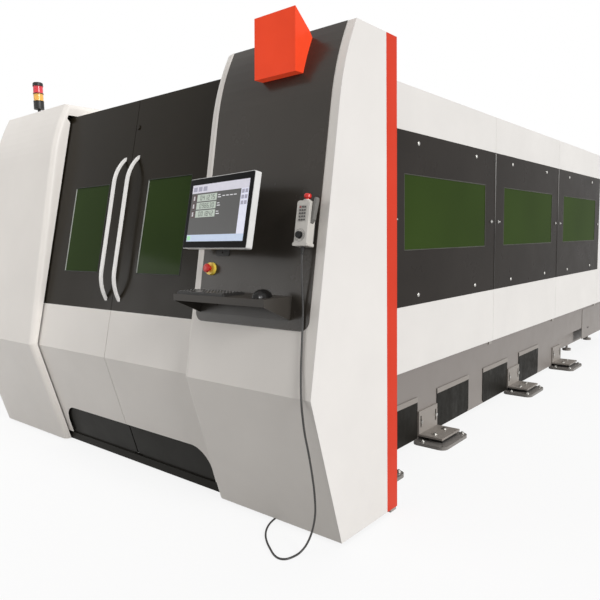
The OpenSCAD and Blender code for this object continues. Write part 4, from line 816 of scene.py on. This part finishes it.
LEFT, RIGHT, LOW, HIGH = -0.216, 0.216, -0.128, 0.128
HEADER_H, COLUMN_W, FOOTER_H = 0.038, 0.052, 0.030
READINGS = ("0412.75", "0986.30", "0018.42")
ROW_DROP, ROW_PITCH, ROW_H = 0.076, 0.036, 0.031
ROWS = [HIGH - ROW_DROP - k * ROW_PITCH for k in range(len(READINGS))]
DIGIT_AT, DIGIT_W, DIGIT_H, DIGIT_GAP = (-0.142, 0.005), 0.014, 0.021, 0.006
# Boxes (x0, y0, x1, y1), counted from where placed() puts them: a row, a digit or a corner of the display
POINT_BOX = (-0.0048, 0, -0.0020, 0.00252)
CELL_BOX, VALUE_BOX = (-0.206, 0, -0.174, ROW_H), (-0.168, 0, -0.012, ROW_H)
LETTER_BOX, LETTER_SHIFTS = (-0.194, 0.006, -0.190, 0.025), (-0.003, 0.003)
UNIT_BOXES = ((-0.004, 0.010, 0.020, 0.014), (-0.004, 0.020, 0.014, 0.024))
TAB_BOX, TAB_PITCH, TABS = (0.030, -0.062, 0.050, -0.058), 0.028, 4
START_BOX = (0.004, 0.006, 0.030, 0.024)
ICON_BOX, ICON_PITCH, ICONS = (0.010, -0.030, 0.040, -0.010), 0.040, 3
SIDE_ICON_BOX, SIDE_ICON_PITCH = (-0.046, -0.058, -0.028, -0.042), (0.023, 0.024)
SIDE_ICON_ROWS, SIDE_ICON_COLUMNS = 3, 2
MATERIALS.update({
    "header": glow("header", (0.60, 0.585, 0.66), 0.38),
    "field": glow("field", (0.052, 0.051, 0.049), 0.3),
    "value": glow("value", (0.42, 0.475, 0.415), 0.4),
    "cell": glow("cell", (0.055, 0.022, 0.022), 0.2),
    "faint": glow("faint", (0.34, 0.33, 0.42), 0.3),
    "digits": glow("digits", (0.03, 0.045, 0.03), 0.0),
    "column": glow("column", (0.64, 0.65, 0.76), 0.48),
    "footer": glow("footer", (0.46, 0.54, 0.68), 0.45),
    "label": glow("label", (0.62, 0.62, 0.64), 0.4),
    "green": glow("green", (0.30, 0.62, 0.34), 0.5),
})


def plate(name, material, boxes, layer):
    """Thin lit rectangles (x0, y0, x1, y1) on the display, layer steps in front of its glass."""
    bm = bmesh.new()
    for x0, y0, x1, y1 in boxes:
        add_box(bm, (x0, y0, layer * LAYER_T), (x1, y1, (layer + 1) * LAYER_T), MONITOR)
    from_bmesh("display_" + name, bm, material, "monitor")


def placed(box, x, y):
    x0, y0, x1, y1 = box
    return (x + x0, y + y0, x + x1, y + y1)


def digits(text, x, y):
    """The boxes of a reading's seven-segment digits and decimal point."""
    boxes = []
    for sign in text:
        if sign == ".":
            boxes.append(placed(POINT_BOX, x, y))
            continue
        for segment in SEGMENTS[sign]:
            x0, y0, x1, y1 = SEGMENT_BOX[segment]
            boxes.append((x + x0 * DIGIT_W, y + y0 * DIGIT_H, x + x1 * DIGIT_W, y + y1 * DIGIT_H))
        x += DIGIT_W + DIGIT_GAP
    return boxes


def make_display():
    plate("field", "field", [(LEFT, LOW, RIGHT, HIGH)], 0)
    plate("header", "header", [(LEFT, HIGH - HEADER_H, RIGHT, HIGH)], 1)
    plate("column", "column", [(RIGHT - COLUMN_W, LOW + FOOTER_H, RIGHT, HIGH - HEADER_H)], 1)
    plate("footer", "footer", [(LEFT, LOW, RIGHT, LOW + FOOTER_H)], 1)
    plate("start", "green", [placed(START_BOX, LEFT, LOW)], 2)
    plate("values", "value", [placed(VALUE_BOX, 0, y) for y in ROWS], 1)
    plate("digits", "digits",
          [box for y, text in zip(ROWS, READINGS) for box in digits(text, DIGIT_AT[0], y + DIGIT_AT[1])], 2)
    plate("cells", "cell", [placed(CELL_BOX, 0, y) for y in ROWS], 1)
    plate("letters", "label", [placed(LETTER_BOX, x, y) for y in ROWS for x in LETTER_SHIFTS], 2)
    labels = [placed(box, 0, y) for box in UNIT_BOXES for y in ROWS]
    labels += [placed(TAB_BOX, k * TAB_PITCH, HIGH) for k in range(TABS)]
    plate("labels", "label", labels, 1)
    icons = [placed(ICON_BOX, LEFT + k * ICON_PITCH, HIGH) for k in range(ICONS)]
    icons += [placed(SIDE_ICON_BOX, RIGHT + i * SIDE_ICON_PITCH[0], HIGH - j * SIDE_ICON_PITCH[1])
              for j in range(SIDE_ICON_ROWS) for i in range(SIDE_ICON_COLUMNS)]
    plate("icons", "faint", icons, 2)


make_display()


# Floor, light and world

WHITE = (1, 1, 1, 1)
FLOOR_R, FLOOR_SIDES, FLOOR_Z = 60, 96, -0.0005
FLOOR_BOUNCE, FLOOR_SEEN, FLOOR_GLOW = (0.38, 0.375, 0.37), (0.90, 0.90, 0.895), 0.86
WORLD_STRENGTH = 0.30


def make_floor():
    """A pale floor: camera and mirror rays see it nearly white, and it gives the object less light than that."""
    bm = bmesh.new()
    bmesh.ops.create_circle(bm, cap_ends=True, segments=FLOOR_SIDES, radius=FLOOR_R)
    mesh = bpy.data.meshes.new("floor")
    bm.to_mesh(mesh)
    bm.free()
    g = material_graph("floor")
    diffuse, plain = g.add("ShaderNodeBsdfDiffuse"), g.add("ShaderNodeEmission")
    plain.inputs["Color"].default_value = WHITE
    rays = g.add("ShaderNodeLightPath").outputs
    seen = g.paired("MAXIMUM", rays["Is Camera Ray"], rays["Is Glossy Ray"])
    g.link(g.mixed(seen, FLOOR_BOUNCE, FLOOR_SEEN), diffuse.inputs["Color"])
    mix, out = g.add("ShaderNodeMixShader"), g.add("ShaderNodeOutputMaterial")
    g.link(g.ranged(seen, 0, 1, 0, FLOOR_GLOW), mix.inputs["Fac"])
    g.link(diffuse.outputs["BSDF"], mix.inputs[1])
    g.link(plain.outputs["Emission"], mix.inputs[2])
    g.link(mix.outputs["Shader"], out.inputs["Surface"])
    mesh.materials.append(g.owner)
    floor = bpy.data.objects.new("floor", mesh)
    floor.location.z = FLOOR_Z
    scene.collection.objects.link(floor)


def make_world():
    """A white backdrop for camera, mirror and glass rays, which lights the object at a lower level."""
    scene.world = bpy.data.worlds.new("studio")
    g = Graph(scene.world)
    rays = g.add("ShaderNodeLightPath").outputs
    seen = g.paired("MAXIMUM", rays["Is Camera Ray"], rays["Is Glossy Ray"])
    seen = g.paired("MAXIMUM", seen, rays["Is Transmission Ray"])
    background, out = g.add("ShaderNodeBackground"), g.add("ShaderNodeOutputWorld")
    background.inputs["Color"].default_value = WHITE
    g.link(g.ranged(seen, 0, 1, WORLD_STRENGTH, 1), background.inputs["Strength"])
    g.link(background.outputs["Background"], out.inputs["Surface"])


def add_lamp(name, kind, at, target, energy, mirrored, **values):
    data = bpy.data.lights.new(name, kind)
    data.energy = energy
    for key, value in values.items():
        setattr(data, key, value)
    lamp = bpy.data.objects.new(name, data)
    lamp.location = at
    lamp.rotation_euler = (Vector(target) - Vector(at)).to_track_quat("-Z", "Y").to_euler()
    lamp.visible_glossy = mirrored
    scene.collection.objects.link(lamp)


def add_softbox(name, at, target, energy, w, h, mirrored=False):
    add_lamp(name, "AREA", at, target, energy, mirrored, shape="RECTANGLE", size=w, size_y=h)


make_floor()
make_world()
add_lamp("key", "SUN", (9.3, -1.3, 3.4), (0, 0, 0), 2.5, True, angle=math.radians(24))
add_softbox("front", (-3.5, -7.5, 3.5), (-0.2, -2.8, 1.3), 102, 4, 3)
add_softbox("front_low", (-3.6, -7.4, 1.9), (1.0, -2.8, 1.1), 34, 4, 1.4, True)
add_softbox("rear", (-6.5, 8.5, 5.0), (-0.5, 1.0, 1.2), 170, 5, 4)
add_softbox("top", (0.0, -0.5, 8.0), (0.0, 0.0, 0.0), 200, 6, 9)

scene.view_settings.view_transform = "Standard"
